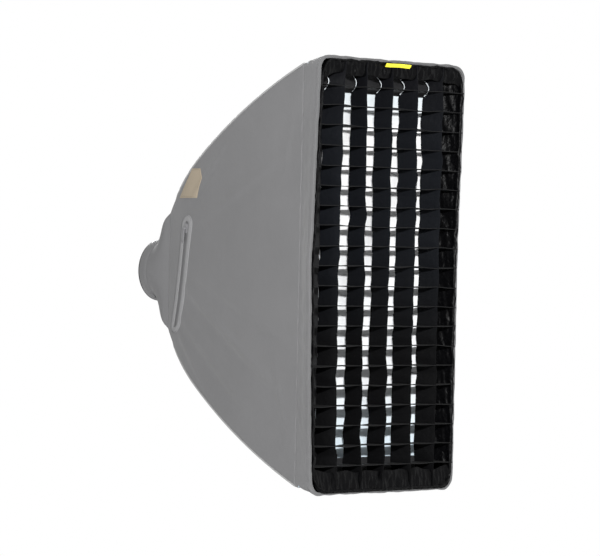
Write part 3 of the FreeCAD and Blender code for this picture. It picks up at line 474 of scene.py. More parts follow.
def side_skin(depth, z, left):
    """Half width of a side panel's outside at a depth and height, with its wrinkles."""
    t = np.clip(np.abs(z) / half(depth, TOP), 0, 1)
    seed = 11 if left else 23
    lift = 0.0007 * waves(depth, z, 0.26, seed) + 0.0002 * waves(depth, z * 0.6, 0.09, seed + 1)
    lift = 1.5 * lift - SAG * (1 - t**2) * smooth((depth - 0.15) / 0.3)
    for start, end, width, tall in CREASES:
        ridge = fold(depth, z, start, end, width)
        hollow = fold(depth, z + 0.018, start, end, width * 1.3)
        lift = lift + CREASE_GAIN * tall * (ridge - 0.6 * hollow)
    return half(depth, SIDE) + lift * free(depth, t)


def top_skin(depth, x):
    """Half height of the top or bottom panel's outside at a depth and place across."""
    t = np.clip(np.abs(x) / half(depth, SIDE), 0, 1)
    lift = 0.0010 * waves(depth, x, 0.22, 31) - SAG * (1 - t**2)
    return half(depth, TOP) + lift * free(depth, t)


def side_points(sx, up):
    """Half of a side panel, from the middle to half way round the rib's corner."""
    d = DEPTHS[:, None]
    tall = half(d, TOP)
    wide = half(d, SIDE)
    t = np.linspace(0, 1, 62)[None, :]
    z = t * (tall - CORNER) * up
    x = side_skin(d, z, sx < 0) * sx
    flat = np.stack([x, -d + 0 * x, z + 0 * x], axis=2)
    turn = np.linspace(0, math.pi / 4, 6)[None, 1:]
    x = (wide - CORNER + CORNER * np.cos(turn)) * sx
    z = (tall - CORNER + CORNER * np.sin(turn)) * up
    bent = np.stack([x, -d + 0 * x, z], axis=2)
    return np.concatenate([flat, bent], axis=1)


def top_points(up):
    """The top or bottom panel, from half way round one rib's corner to the other's."""
    d = DEPTHS[:, None]
    tall = half(d, TOP)
    wide = half(d, SIDE)
    t = np.linspace(-1, 1, 61)[None, :]
    x = t * (wide - CORNER)
    z = top_skin(d, x) * up
    flat = np.stack([x, -d + 0 * x, z], axis=2)
    turn = np.linspace(math.pi / 4, math.pi / 2, 6)[None, :-1]
    x = wide - CORNER + CORNER * np.cos(turn)
    z = (tall - CORNER + CORNER * np.sin(turn)) * up
    right = np.stack([x, -d + 0 * x, z], axis=2)[:, ::-1]
    left = right[:, ::-1] * np.array([-1, 1, 1])
    return np.concatenate([left, flat, right], axis=1)


for up, level in HALVES:
    for sx, hand in ((-1, "left"), (1, "right")):
        points = side_points(sx, up)
        skin = cloth(f"side_cloth_{hand}_{level}", points, (0, -0.4, 0), (shell_side, lining))
        soft(skin)
        if up > 0:
            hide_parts(f"{hand}_panel")
        # the piping starts behind the collar and sinks into the cloth at its rear end
        d = DEPTHS[DEPTHS > 0.112][::3]
        reach = CORNER * math.sqrt(0.5) + 0.0008 - 0.0034 * np.exp(-(d - d[0]) / 0.012)
        x = (half(d, SIDE) - CORNER + reach) * sx
        z = (half(d, TOP) - CORNER + reach) * up
        path = np.stack([x, -d, z], axis=1)
        cord = merge(f"piping_{hand}_{level}", [tube_parts(path, 0.0019, 8)], [piping])
        soft(cord)
    side = "top" if up > 0 else "bottom"
    cover = cloth(f"{side}_cloth", top_points(up), (0, -0.4, 0), (shell_top, lining))
    soft(cover)
    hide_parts("top_panel" if up > 0 else "bottom_panel")

# ---- collar from the shoulders to the speed ring -------------------------------------------------

# depth and radius of the collar's round rear part
ROUND_PART = (
    (0.0046, 0.0632),
    (0.0064, 0.0660),
    (0.0092, 0.0679),
    (0.0130, 0.0689),
    (0.0190, 0.0693),
    (0.0240, 0.0692),
    (0.0285, 0.0691),
    (0.0330, 0.0692),
    (0.0350, 0.0694),
)
# depth, half width and half height where the round part ends and where the collar meets the body
COLLAR_REAR, COLLAR_FRONT = (0.035, 0.0694, 0.0694), (0.0948, 0.0600, 0.1330)
BAND_DEPTH, BAND_RADIUS = 0.0285, 0.0700


def rounded_quarter(wide, tall, corner, t):
    """A rounded rectangle's quarter, from its side's middle (t 0) to its top's middle (t 1)."""
    bend_from = tall - corner
    bend_to = bend_from + corner * math.pi / 2
    at = t * (bend_to + wide - corner)
    turn = np.clip((at - bend_from) / corner, 0, math.pi / 2)
    x = wide - corner + corner * np.cos(turn) - np.clip(at - bend_to, 0, None)
    z = np.minimum(at, bend_from) + corner * np.sin(turn)
    return x, z


def collar_points(up):
    """Half of the collar: round on the speed ring, turning square towards the body."""
    t = np.linspace(0, 1, 61)
    rows = []

    def row(depth, wide, tall, square, gathers):
        x, z = rounded_quarter(wide, tall, 0.012, t)
        turn = t * math.pi / 2
        x = x * square + wide * np.cos(turn) * (1 - square)
        z = z * square + tall * np.sin(turn) * (1 - square)
        x, z = np.concatenate([x, -x[-2::-1]]), np.concatenate([z, z[-2::-1]]) * up
        angle = np.arctan2(z, x)
        swell = 1 + gathers * (np.sin(angle * 74) + 0.4 * np.sin(angle * 31 + depth * 60))
        rows.append(np.stack([x * swell, 0 * x - depth, z * swell], axis=1))

    for depth, radius in ROUND_PART:
        row(depth, radius, radius, 0, 0.0015)
    for k in np.linspace(0.04, 1, 30):
        depth, wide, tall = (a + (b - a) * k for a, b in zip(COLLAR_REAR, COLLAR_FRONT))
        belly = math.sin(math.pi * k)
        square, gathers = smooth((k - 0.1) * 1.4), 0.002 * (1 - smooth(k * 2))
        row(depth, wide + 0.0030 * belly, tall + 0.0012 * belly, square, gathers)
    return np.stack(rows)


for up, level in HALVES:
    looks = (collar_fabric, lining)
    collar = cloth(f"collar_cloth_{level}", collar_points(up), (0, -0.06, 0), looks, 0.0010)
    soft(collar)
    if up > 0:
        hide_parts("neck_sleeve")

band = []
turns = np.linspace(0, math.tau, 361)
for depth in np.linspace(BAND_DEPTH - 0.004, BAND_DEPTH + 0.004, 5):
    r = BAND_RADIUS + 0.0003 * math.cos((depth - BAND_DEPTH) / 0.004 * 1.6)
    r = r + 0.00018 * np.sin(turns * 148 + depth * 900)
    band.append(np.stack([r * np.cos(turns), 0 * turns - depth, r * np.sin(turns)], axis=1))
band = cloth("collar_elastic", np.stack(band), (0, -BAND_DEPTH, 0), (elastic,), 0.0010)
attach(band, "ring")
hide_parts("collar_band")

# ---- front lips ----------------------------------------------------------------------------------


def mouth_bulge(depth, x, z):
    """Shift of the open front's walls: the left one bows outwards, the right one near its top."""
    t = np.clip(np.abs(z + 0.02) / 0.42, 0, 1)
    swell = 0.013 * (1 - t**2) + 0.004 * np.exp(-(((z - 0.02) / 0.055) ** 2))
    left = -swell * np.clip(-x / 0.2, 0, 1) ** 4
    right = 0.011 * smooth(z / 0.42) * np.clip(x / 0.22, 0, 1) ** 4
    return np.where(x < 0, left, right) * smooth((depth - FRONT) / 0.055)


def ring_outline(wide, tall, corner, up):
    """Half of a rounded rectangle, from its left middle over its top (or bottom) to its right."""
    side_steps, corner_steps, top_steps = 46, 12, 44
    spots = []
    for z in np.linspace(0, tall - corner, side_steps, endpoint=False):
        spots.append((-wide, z))
    for a in np.linspace(0, math.pi / 2, corner_steps, endpoint=False):
        spots.append((-wide + corner - corner * math.cos(a), tall - corner + corner * math.sin(a)))
    for x in np.linspace(-wide + corner, wide - corner, top_steps, endpoint=False):
        spots.append((x, tall))
    for a in np.linspace(math.pi / 2, 0, corner_steps, endpoint=False):
        spots.append((wide - corner + corner * math.cos(a), tall - corner + corner * math.sin(a)))
    for z in np.linspace(tall - corner, 0, side_steps):
        spots.append((wide, z))
    spots = np.array(spots)
    spots[:, 1] *= up
    return spots


def wall_points(depths, inset, corners, up, ripple, seed, fine):
    """A wall round the open front: depths and how far inside the body's line it runs."""
    rows = []
    for depth, inside, corner in zip(depths, inset, corners):
        wide = float(half(depth, SIDE)) - inside
        tall = float(half(depth, TOP)) - inside
        spots = ring_outline(wide, tall, corner, up)
        x, z = spots[:, 0], spots[:, 1]
        n = np.stack([x / wide, z / tall], axis=1) ** 9
        n = np.sign(np.stack([x, z], axis=1)) * np.abs(n)
        n /= np.maximum(np.linalg.norm(n, axis=1, keepdims=True), 1e-9)
        edge = smooth(np.abs(z) / 0.03)
        amount = ripple * waves(x + z * 0.9, z - x * 0.4 + depth * 2.5, 0.06, seed)
        amount = amount + fine * waves(x * 1.1 + z, z - x + depth * 3, 0.021, seed + 5)
        amount = amount * edge
        x = x + n[:, 0] * amount + mouth_bulge(depth, x, z)
        z = z + n[:, 1] * amount
        rows.append(np.stack([x, 0 * x - depth, z], axis=1))
    return np.stack(rows)


def closed_wall(name, outer, inner, looks, inner_look=0):
    """Solid cloth wall between an outer and an inner run of points, closed all round."""
    points = np.concatenate([outer, inner[::-1]])
    rows, cols = points.shape[:2]
    faces, index = [], []
    for i in range(rows):
        k = (i + 1) % rows
        for j in range(cols - 1):
            faces.append((i * cols + j, k * cols + j, k * cols + j + 1, i * cols + j + 1))
            index.append(inner_look if i >= len(outer) else 0)
    faces.append(tuple(i * cols for i in range(rows))[::-1])
    faces.append(tuple(i * cols + cols - 1 for i in range(rows)))
    index += [0, 0]
    spots = points.reshape(-1, 3)
    made = add_mesh(name, spots, faces, looks, index)
    volume = 0
    for face in faces:
        for k in range(1, len(face) - 1):
            volume += spots[face[0]].dot(np.cross(spots[face[k]], spots[face[k + 1]]))
    if volume < 0:
        made.data.flip_normals()
    return made


def lip_corner(depth):
    """Corner radius of the front lips at a depth: sharp at the ribs, round at the mouth."""
    return CORNER + 0.022 * np.clip((depth - FRONT) / (MOUTH - FRONT), 0, 1)


# a folded edge sewn over the ribs, a plain band, and a thick hem round the mouth
LIP_DEPTHS = np.concatenate(
    [[0.6195, 0.6210, 0.6225], np.linspace(0.626, 0.668, 10), [0.6700, 0.674, 0.678, MOUTH]]
)
LIP_INSET = np.concatenate(
    [[0.0010, -0.0008, 0.0004], np.zeros(10), [0.0004, -0.0006, -0.0004, 0.0006]]
)
LIP_THICK = np.concatenate([np.full(13, 0.0013), [0.0040, 0.0060, 0.0066, 0.0058]])
LIP_RIPPLE = (0.0009, 61, 0.0003)
LIP_LINED = (0.6205, 0.667)  # depths between which the inside shows its lining

for up, level in HALVES:
    corners = lip_corner(LIP_DEPTHS)
    outer = wall_points(LIP_DEPTHS, LIP_INSET, corners, up, *LIP_RIPPLE)
    inner = wall_points(LIP_DEPTHS, LIP_INSET + LIP_THICK, corners - LIP_THICK, up, *LIP_RIPPLE)
    lip = closed_wall(f"lip_cloth_{level}", outer, inner, [lip_cloth, lining], 1)
    for poly in lip.data.polygons:
        if not LIP_LINED[0] < -poly.center.y < LIP_LINED[1]:
            poly.material_index = 0
    soft(lip)
    if up > 0:
        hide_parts("top_lip", "left_lip", "right_lip")
    else:
        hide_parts("bottom_lip")
    seams = []
    for depth in (0.6255, 0.6690):
        line = wall_points([depth], [-0.0002], [lip_corner(depth)], up, *LIP_RIPPLE)[0]
        seams += stitch_parts(line, 0.0046, 0.0030)
    sewn = merge(f"lip_stitches_{level}", seams, [thread])
    soft(sewn)

# ---- diffuser ------------------------------------------------------------------------------------

SCREEN_WIDE, SCREEN_TALL = 0.2145, 0.442  # half width and half height
HEM_LEFT_AND_SHADE, HEM_RIGHT, HEM_ENDS = 0.070, 0.015, 0.056  # width of the diffuser's dark border; its extra width at the left is a dark sheet that paints the shade of the grid's left wall


def diffuser_y(x, z):
    """The diffuser's surface: it bellies backwards and is a little loose by its border."""
    u, v = np.abs(x) / SCREEN_WIDE, np.abs(z) / SCREEN_TALL
    belly = (1 - np.clip(u, 0, 1) ** 2.6) * (1 - np.clip(v, 0, 1) ** 7)
    loose = smooth((1 - u) * 7) * smooth((1 - v) * 14)
    edge = np.exp(-(((x + 0.165) / 0.03) ** 2)) * waves(z, z * 0.3, 0.05, 17) * 0.0016
    return -0.634 + 0.030 * belly + 0.0012 * waves(x, z, 0.08, 15) * loose + edge * loose


for up, level in HALVES:
    x = np.linspace(-SCREEN_WIDE, SCREEN_WIDE, 60)[None, :] + np.zeros((66, 1))
    z = np.linspace(0, SCREEN_TALL, 66)[:, None] * up + np.zeros((1, 60))
    points = np.stack([x, diffuser_y(x, z), z], axis=2)
    screen = cloth(f"diffuser_cloth_{level}", points, (0, 0, 0), (diffusing,), 0.0006)
    flattens(screen, "diffuser")
    if up > 0:
        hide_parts("front_diffuser")
    # the dark border is the diffuser's tape; at the left it is widened into painted shade
    strips = []
    for share in np.linspace(0, 1, 8):
        wide = SCREEN_WIDE - 0.0007 - (HEM_LEFT_AND_SHADE + HEM_RIGHT) / 2 * share
        tall = SCREEN_TALL - 0.0007 - HEM_ENDS * share
        x, z = ring_outline(wide, tall, CORNER - 0.005 * share, up).T
        wander = 0.0035 * share * waves(z, x * 0.4, 0.05, 19) * smooth(np.abs(z) / 0.02)
        x = x + wander * (x < 0.002 - wide) + (HEM_LEFT_AND_SHADE - HEM_RIGHT) / 2 * share
        strips.append(np.stack([x, diffuser_y(x, z) - 0.0012, z], axis=1))
    hem = cloth(f"diffuser_tape_and_shade_{level}", np.stack(strips), (0, 0, 0), (webbing,), 0.0010)
    flattens(hem, "diffuser")
    if up > 0:
        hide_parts("diffuser_hem")

# ---- egg-crate grid ------------------------------------------------------------------------------

COLUMN_PITCH, ROW_PITCH = 0.080, 0.0418
COLUMN_X = [(-2 + k) * COLUMN_PITCH for k in range(5)]
ROW_Z = [(k - 9.5) * ROW_PITCH for k in range(20)]
GRID_BACK, GRID_FRONT = 0.638, 0.684
STRIP_SHORT = 0.0084  # how far inside the body's line the strips end
EDGE = 0.0009  # radius of the strips' sewn front edges
# how far each column leans sideways at its rear and its front edge
REAR_SWAY = (-0.0090, 0.0, -0.0045, -0.0075, -0.0105)
FRONT_SWAY = (0.0045, 0.0, -0.0020, 0.0, 0.0)
# the columns' rear edge curls forward in the top cells
HOOK, HOOK_FROM, HOOK_TALL = 0.017, 0.384, 0.040
SURROUND_DEPTHS = np.concatenate(
    [np.linspace(0.638, 0.673, 12), [0.676, 0.679, 0.682, 0.6842, 0.6850]]
)
SURROUND_INSET = np.concatenate([np.full(12, 0.0076), [0.0076, 0.0076, 0.0074, 0.0076, 0.0086]])
SURROUND_THICK = np.concatenate([np.full(12, 0.0012), [0.0022, 0.0040, 0.0046, 0.0036, 0.0012]])
SURROUND_RIPPLE = (0.0012, 71, 0.0011)
# half, height of the edge, reach towards the middle and seed of each gathered casing
CASINGS = ((1, "upper", 0.4480, 0.030, 5), (-1, "lower", 0.4535, 0.046, 8))


def column_shift(x0, z, depth):
    """How far a column's cloth strays sideways: puffed in each cell and looser near its ends."""
    loose = 0.0012 + 0.0040 * (np.abs(z) / 0.45) ** 6
    cell = z / ROW_PITCH + 0.5
    drift = waves(np.floor(cell) * 0.37 + x0 * 7, depth * 0.9, 0.9, int(90 + x0 * 100))
    puff = np.sin(np.pi * (cell % 1)) ** 2 * 0.0026 * drift
    stray = loose * waves(z + x0, depth * 0.6 + x0 * 3, 0.11, int(50 + x0 * 100))
    return puff + stray + mouth_bulge(depth, np.full_like(z, x0), z)


def row_shift(z0, x, depth):
    """How far a row's cloth sags between the columns that carry it."""
    sag = -0.0009 * (1 - np.cos(x / COLUMN_PITCH * math.tau)) / 2
    return sag + 0.0010 * waves(x + z0 * 3, depth * 0.7 + z0, 0.14, int(200 + z0 * 300))


for up, level in HALVES:
    pieces, folds = [], []
    for x0, rear_sway, front_sway in zip(COLUMN_X, REAR_SWAY, FRONT_SWAY):
        t = np.linspace(0, 1, 150)[:, None]
        forward = np.linspace(0, 1, 7)[None, :]
        reach = half(GRID_BACK + (GRID_FRONT - GRID_BACK) * forward, TOP) - STRIP_SHORT
        z = t * reach * up
        hook = HOOK * np.sin(np.pi * np.clip((z - HOOK_FROM) / HOOK_TALL, 0, 1))
        depth = GRID_BACK + hook + (GRID_FRONT - GRID_BACK - hook) * forward
        x = x0 + column_shift(x0, z, depth) + rear_sway + (front_sway - rear_sway) * forward
        points = np.stack([x, -depth, z], axis=2)
        every, faces = sheet_parts(points, (-5, -0.66, 0), 0.0009)
        pieces.append((every, np.concatenate(faces)))
        front = points[::2, -1] + np.array([0, -0.0004, 0])
        folds.append((*tube_parts(front, EDGE, 6), 0))
        # a near-white tube on each column's rear edge in the top cells: a painted highlight, where
        # the black edge catches light
        rear = points[(points[:, 0, 2] > 0.386) & (points[:, 0, 2] < 0.420), 0]
        if len(rear):
            folds.append((*tube_parts(rear + np.array([-0.0006, 0.0006, 0]), 0.0011, 6), 2))
    walls = merge(f"grid_columns_{level}", pieces + folds, [black, hem_thread, painted_highlight])
    flattens(walls, "grid")
    if up > 0:
        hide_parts("grid_vertical_strips")

    pieces, folds = [], []
    for z0 in ROW_Z:
        if z0 * up < 0:
            continue
        t = np.linspace(-1, 1, 91)[:, None]
        depth = np.linspace(GRID_BACK, GRID_FRONT, 5)[None, :] + 0 * t
        x = t * (half(depth, SIDE) - STRIP_SHORT)
        z = z0 + row_shift(z0, x, depth)
        x = x + mouth_bulge(depth, x, z)
        points = np.stack([x, -depth, z], axis=2)
        every, faces = sheet_parts(points, (0, -0.66, -9), 0.0008)
        pieces.append((every, np.concatenate(faces)))
        front = points[::2, -1] + np.array([0, -0.0003, -0.0004])
        folds.append((*tube_parts(front, EDGE, 6), 1))
    walls = merge(f"grid_rows_{level}", pieces + folds, [black, hem_thread])
    flattens(walls, "grid")
    if up > 0:
        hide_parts("grid_horizontal_strips")

    depths, inset, thick = SURROUND_DEPTHS, SURROUND_INSET, SURROUND_THICK
    corners = 0.022 + 0.018 * np.clip((depths - GRID_BACK) / 0.05, 0, 1)
    outer = wall_points(depths, inset, corners, up, *SURROUND_RIPPLE)
    inner = wall_points(depths, inset + thick, corners - thick, up, *SURROUND_RIPPLE)
    for run in (outer, inner):
        run[..., 0] -= 0.0035 * smooth(run[..., 0] / 0.2)
    rim = closed_wall(f"grid_surround_{level}", outer, inner, [black_shiny])
    flattens(rim, "grid")
    if up > 0:
        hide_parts("grid_frame")

for up, level, edge_z, reach, seed in CASINGS:
    x = np.linspace(-0.2170, 0.2170, 200)[None, :]
    t = np.linspace(0, 1, 16)[:, None]
    cell = (x / COLUMN_PITCH + 0.5) % 1
    edge = reach * (1 - 0.10 * np.sin(np.pi * cell) ** 2) + 0.002 * waves(x, 0 * x, 0.05, seed)
    past = np.clip(np.abs(x) - 0.187, 0, 1) / 0.036  # into the rounded corners, 36 mm in radius
    round_off = 0.036 * (1 - np.sqrt(np.clip(1 - past**2, 0, 1)))
    z = (edge_z - round_off - t * (edge - 0.3 * round_off)) * up
    crinkle = 0.0016 * waves(x, z * 0.35, 0.016, seed + 1) + 0.0014 * waves(x, z, 0.034, seed + 2)
    y = -0.6830 + 0.004 * t**2 + crinkle * np.sin(np.pi * np.clip(t * 0.8 + 0.15, 0, 1))
    x = x + mouth_bulge(0.686, x, z)
    points = np.stack([x + 0 * t, y, z + 0 * x], axis=2)
    casing = cloth(f"grid_casing_{level}", points, (0, 0, 0), (black_shiny,), 0.0012)
    flattens(casing, "grid")

# ---- pull tab on the grid ------------------------------------------------------------------------

low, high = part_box("grid_pull_tab")
x = np.linspace(low.x, high.x, 28)[None, :]
t = np.linspace(0, 1, 9)[:, None]
z = low.z + (high.z - low.z) * (0.5 * t - 0.1) + 0.0004 * np.sin(x * 90)
y = -0.6865 - 0.0050 * t - 0.0008 * np.sin(t * math.pi) + 0.0004 * np.sin(x * 70 + 1)
points = np.stack([x + 0 * t, y, z], axis=2)
tab = cloth("pull_tab_cloth", points, (0, 0, 0), (yellow,), 0.0012)
flattens(tab, "grid")
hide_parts("grid_pull_tab")

# ---- inner baffle --------------------------------------------------------------------------------

BAFFLE_WIDE, BAFFLE_TALL = 0.110, 0.230  # half width and half height

for up, level in HALVES:
    x = np.linspace(-BAFFLE_WIDE, BAFFLE_WIDE, 34)[None, :] + np.zeros((34, 1))
    z = np.linspace(0, BAFFLE_TALL, 34)[:, None] * up + np.zeros((1, 34))
    u, v = x / BAFFLE_WIDE, z / BAFFLE_TALL
    scallop = 0.006 * (1 - u**2) * v**2
    ripple = 0.0006 * waves(x, z, 0.07, 91) * (1 - np.abs(v) ** 4)
    y = -0.3805 + 0.004 * (1 - u**2) * (1 - v**2) + ripple
    points = np.stack([x, y, z - scallop * up], axis=2)
    baffle = cloth(f"baffle_cloth_{level}", points, (0, 0, 0), (baffle_cloth,), 0.0006)
    flattens(baffle, "ring")
    if up > 0:
        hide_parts("inner_baffle")

for up, level in HALVES:
    parts = []
    for sx in (-1, 1):
        run = np.linspace(0.088, float(half(0.380, SIDE)) - 0.0060, 16)[:, None]
        rise = np.linspace(0.206, 0.2245, 5)[None, :]
        y = -0.3795 + 0.0006 * np.sin(run * 160)
        points = np.stack([run * sx + 0 * rise, y + 0 * rise, (rise + 0 * run) * up], axis=2)
        every, faces = sheet_parts(points, (0, 0, 0), 0.0009)
        parts.append((every, np.concatenate(faces)))
    straps = merge(f"baffle_webbing_{level}", parts, [webbing])
    flattens(straps, "ring")
    if up > 0:
        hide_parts("baffle_straps")

# ---- side opening --------------------------------------------------------------------------------

ZIP_DEPTH, ZIP_LEAN, ZIP_MIDDLE = 0.168, 0.19, -0.002
LOOP_HALF = {1: 0.1250, -1: 0.1380}  # from the middle to the loop's upper and lower end
WELT_INNER, WELT_OUTER = 0.0070, 0.0240  # half widths of the loop
WELT_LIFT = (0.0006, 0.0017, 0.0023, 0.0025, 0.0026, 0.0025, 0.0023, 0.0017, 0.0006)
TAPE = ((-0.012, 0.0005), (-0.006, 0.0010), (-0.0016, 0.0012))  # place across and lift, one side


def on_side(along, across, lift):
    """A point of the left panel by its place along and across the opening, raised off the cloth."""
    z = ZIP_MIDDLE + along
    depth = ZIP_DEPTH + ZIP_LEAN * along + across
    out = side_skin(depth, z, True)
    slope = (half(depth + 0.002, SIDE) - half(depth - 0.002, SIDE)) / 0.004
    scale = 1 / np.sqrt(1 + slope**2)
    return np.stack([-(out + lift * scale), -depth + lift * slope * scale, z], axis=-1)


def loop_path(half_long, half_wide, up):
    """Half of a long loop round its upper or lower end: places along and across the opening."""
    steps, end = 34, half_long - half_wide
    spots = [(a, -half_wide) for a in np.linspace(-ZIP_MIDDLE, end, steps, endpoint=False)]
    for turn in np.linspace(math.pi, 0, 18):
        spots.append((end + half_wide * math.sin(turn), half_wide * math.cos(turn)))
    spots += [(a, half_wide) for a in np.linspace(end, -ZIP_MIDDLE, steps)[1:]]
    along, across = np.array(spots).T
    along = (along + ZIP_MIDDLE) * up - ZIP_MIDDLE
    return along, across - foot_bend(along)


def foot_bend(along):
    """How far the opening bends rearwards near its foot."""
    return 0.006 * np.clip(-(along + 0.05) / 0.07, 0, 1) ** 2


for up, level in HALVES:
    rows = []
    wide = WELT_OUTER - WELT_INNER
    for t, lift in zip(np.linspace(0, 1, len(WELT_LIFT)), WELT_LIFT):
        path = loop_path(LOOP_HALF[up] - wide * (1 - t) * 0.95, WELT_INNER + wide * t, up)
        rows.append(on_side(*path, lift))
    welt = cloth(f"opening_welt_{level}", np.stack(rows), (0.2, -0.2, 0), (zip_loop,), 0.0010)
    soft(welt)
    if up > 0:
        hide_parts("zip_welt")
    along = np.linspace(0, LOOP_HALF[up] - 0.0110, 30) * up - ZIP_MIDDLE
    both_sides = TAPE + tuple((-across, lift) for across, lift in TAPE[::-1])
    rows = [on_side(along, across - foot_bend(along), lift) for across, lift in both_sides]
    tape = cloth(f"opening_tape_{level}", np.stack(rows), (0.2, -0.2, 0), (zip_dark,), 0.0006)
    soft(tape)
    if up > 0:
        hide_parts("zip_tape")
    teeth = []
    for a in np.arange(0.0006, LOOP_HALF[up] - 0.0140, 0.0021):
        for side in (-1, 1):
            along = a * up - ZIP_MIDDLE + 0.0005 * side
            across = np.array([-0.0004, 0.0011, 0.0026]) * side - foot_bend(along)
            lift = np.array([0.0017, 0.0023, 0.0014])
            teeth.append(tube_parts(on_side(np.full(3, along), across, lift), 0.00055, 5))
    coil = merge(f"opening_coil_{level}", teeth, [zip_teeth])
    soft(coil)
    if up > 0:
        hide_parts("zip_coil")
    seam = []
    for wide, short in ((0.0100, 0.0135), (0.0220, 0.0015)):
        seam += stitch_parts(on_side(*loop_path(LOOP_HALF[up] - short, wide, up), 0.0022))
    sewn = merge(f"opening_stitches_{level}", seam, [thread])
    soft(sewn)

# ---- patch over the upper rib --------------------------------------------------------------------

# corners (depth, height) of the patch's rear and front edges, from its foot up
PATCH_REAR = np.array([(0.148, 0.160), (0.207, 0.224)])
PATCH_FRONT = np.array([(0.228, 0.160), (0.249, 0.203), (0.240, 0.224)])
v = np.linspace(0, 1, 26)
rear_edge = np.stack([np.interp(v, (0, 1), PATCH_REAR[:, k]) for k in (0, 1)], axis=1)
front_edge = np.stack([np.interp(v, (0, 0.67, 1), PATCH_FRONT[:, k]) for k in (0, 1)], axis=1)
u = np.linspace(0, 1, 16)[None, :, None]
flat = (rear_edge[:, None] * (1 - u) + front_edge[:, None] * u).transpose(1, 0, 2)
depth, z = flat[..., 0], flat[..., 1]
lift = 0.0012 + 0.0006 * np.sin(np.pi * u[0]) * np.sin(np.pi * v)[None, :]
points = np.stack([-(side_skin(depth, z, True) + lift), -depth, z], axis=2)
patch = cloth("rib_patch_cloth", points, (0.2, -0.2, 0.1), (tan,), 0.0010)
soft(patch)
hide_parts("rib_tab")
border = np.concatenate([flat[1, 1:-1], flat[1:-1, -2], flat[-2, -2:0:-1], flat[-2:0:-1, 1]])
depth, z = border.T
line = np.stack([-(side_skin(depth, z, True) + 0.0017), -depth, z], axis=1)
sewn = merge("rib_patch_stitches", stitch_parts(line), [thread_tan])
soft(sewn)

# ---- studio --------------------------------------------------------------------------------------

FLOOR_Z = -0.90
GLOW_FROM, GLOW_TO = 2.0, 3.4  # radii between which the floor turns into the white backdrop
WORLD_LIGHT = 0.08  # what the world gives the object; it shows as white

floor_mat = material("studio_floor", (0.9, 0.9, 0.9, 1), 0.9)
tree = floor_mat.node_tree
shader = tree.nodes["Principled BSDF"]
output = tree.nodes["Material Output"]
glow = tree.nodes.new("ShaderNodeEmission")
mix = tree.nodes.new("ShaderNodeMixShader")
place = tree.nodes.new("ShaderNodeTexCoord")
length = tree.nodes.new("ShaderNodeVectorMath")
length.operation = "LENGTH"
reach = tree.nodes.new("ShaderNodeMapRange")
reach.inputs["From Min"].default_value = GLOW_FROM
reach.inputs["From Max"].default_value = GLOW_TO
tree.links.new(place.outputs["Object"], length.inputs[0])
tree.links.new(length.outputs["Value"], reach.inputs["Value"])
tree.links.new(reach.outputs["Result"], mix.inputs["Fac"])
tree.links.new(shader.outputs["BSDF"], mix.inputs[1])
tree.links.new(glow.outputs["Emission"], mix.inputs[2])
tree.links.new(mix.outputs["Shader"], output.inputs["Surface"])
corners = [(-30, -30, 0), (30, -30, 0), (30, 30, 0), (-30, 30, 0)]
floor = add_mesh("floor", corners, [(0, 1, 2, 3)], [floor_mat])
floor.location = (0, -0.35, FLOOR_Z)

world = bpy.data.worlds.new("studio")
bpy.context.scene.world = world
world.use_nodes = True
tree = world.node_tree
tree.nodes.clear()
out = tree.nodes.new("ShaderNodeOutputWorld")
seen = tree.nodes.new("ShaderNodeBackground")
seen.inputs["Color"].default_value = (1, 1, 1, 1)
seen.inputs["Strength"].default_value = 1.0
lit = tree.nodes.new("ShaderNodeBackground")
lit.inputs["Color"].default_value = (1, 1, 1, 1)
lit.inputs["Strength"].default_value = WORLD_LIGHT
path = tree.nodes.new("ShaderNodeLightPath")
mix = tree.nodes.new("ShaderNodeMixShader")
shown = path.outputs["Is Camera Ray"]
for kind in ("Is Glossy Ray", "Is Transmission Ray"):
    either = tree.nodes.new("ShaderNodeMath")
    either.operation = "MAXIMUM"
    tree.links.new(shown, either.inputs[0])
    tree.links.new(path.outputs[kind], either.inputs[1])
    shown = either.outputs[0]
tree.links.new(shown, mix.inputs["Fac"])
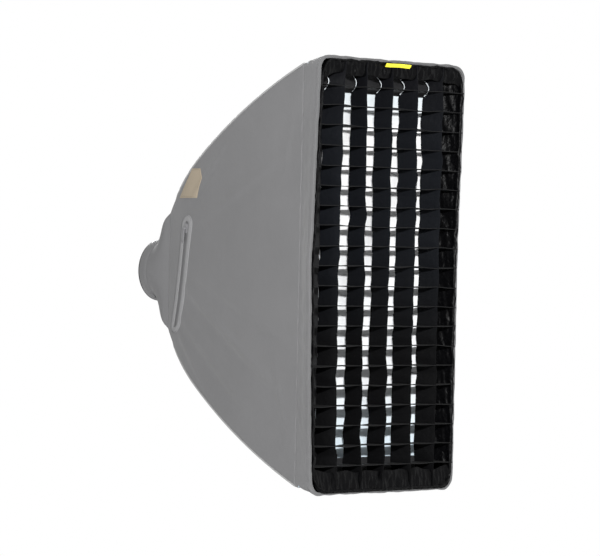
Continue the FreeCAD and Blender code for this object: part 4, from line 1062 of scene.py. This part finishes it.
tree.links.new(lit.outputs["Background"], mix.inputs[1])
tree.links.new(seen.outputs["Background"], mix.inputs[2])
tree.links.new(mix.outputs["Shader"], out.inputs["Surface"])


def lamp(name, spot, target, power, wide, tall):
    """A rectangular area lamp at a spot, turned to a target."""
    data = bpy.data.lights.new(name, "AREA")
    data.shape = "RECTANGLE"
    data.size, data.size_y = wide, tall
    data.energy = power
    thing = bpy.data.objects.new(name, data)
    bpy.context.scene.collection.objects.link(thing)
    thing.location = spot
    thing.rotation_euler = (Vector(target) - Vector(spot)).to_track_quat("-Z", "Y").to_euler()


lamp("key", (-3.26, -3.63, 0.80), (0, -0.68, 0), 262, 0.16, 0.12)
lamp("back", (2.4, 3.0, 1.2), (0, -0.3, 0), 150, 1.6, 1.6)
lamp("top", (0, -0.35, 3.2), (0, -0.35, 0), 45, 2.0, 2.0)

# ---- camera --------------------------------------------------------------------------------------

AZIMUTH, ELEVATION, ROLL = math.radians(47.778), math.radians(0.349), math.radians(1.265)
DISTANCE, LEFTWARDS, DOWNWARDS = 7.8968, 0.18488, 0.00351  # from the middle of the open front
FOCAL, SENSOR = 224.214, 36  # millimetres
face = Vector((0, -MOUTH, 0))
level_way = Vector((math.sin(AZIMUTH), math.cos(AZIMUTH), 0))
forward = level_way * math.cos(ELEVATION) - Vector((0, 0, math.sin(ELEVATION)))
right = Vector((math.cos(AZIMUTH), -math.sin(AZIMUTH), 0))
above = right.cross(forward)
level_right = right * math.cos(ROLL) + above * math.sin(ROLL)
level_up = above * math.cos(ROLL) - right * math.sin(ROLL)
spot = face - forward * DISTANCE - level_right * LEFTWARDS - level_up * DOWNWARDS
lens = bpy.data.cameras.new("camera")
lens.sensor_width = SENSOR
lens.lens = FOCAL
lens.clip_end = 100
camera = bpy.data.objects.new("camera", lens)
bpy.context.scene.collection.objects.link(camera)
axes = Matrix((level_right, level_up, -forward)).transposed()
camera.matrix_world = Matrix.Translation(spot) @ axes.to_4x4()
bpy.context.scene.camera = camera
bpy.context.scene.view_settings.view_transform = "Standard"
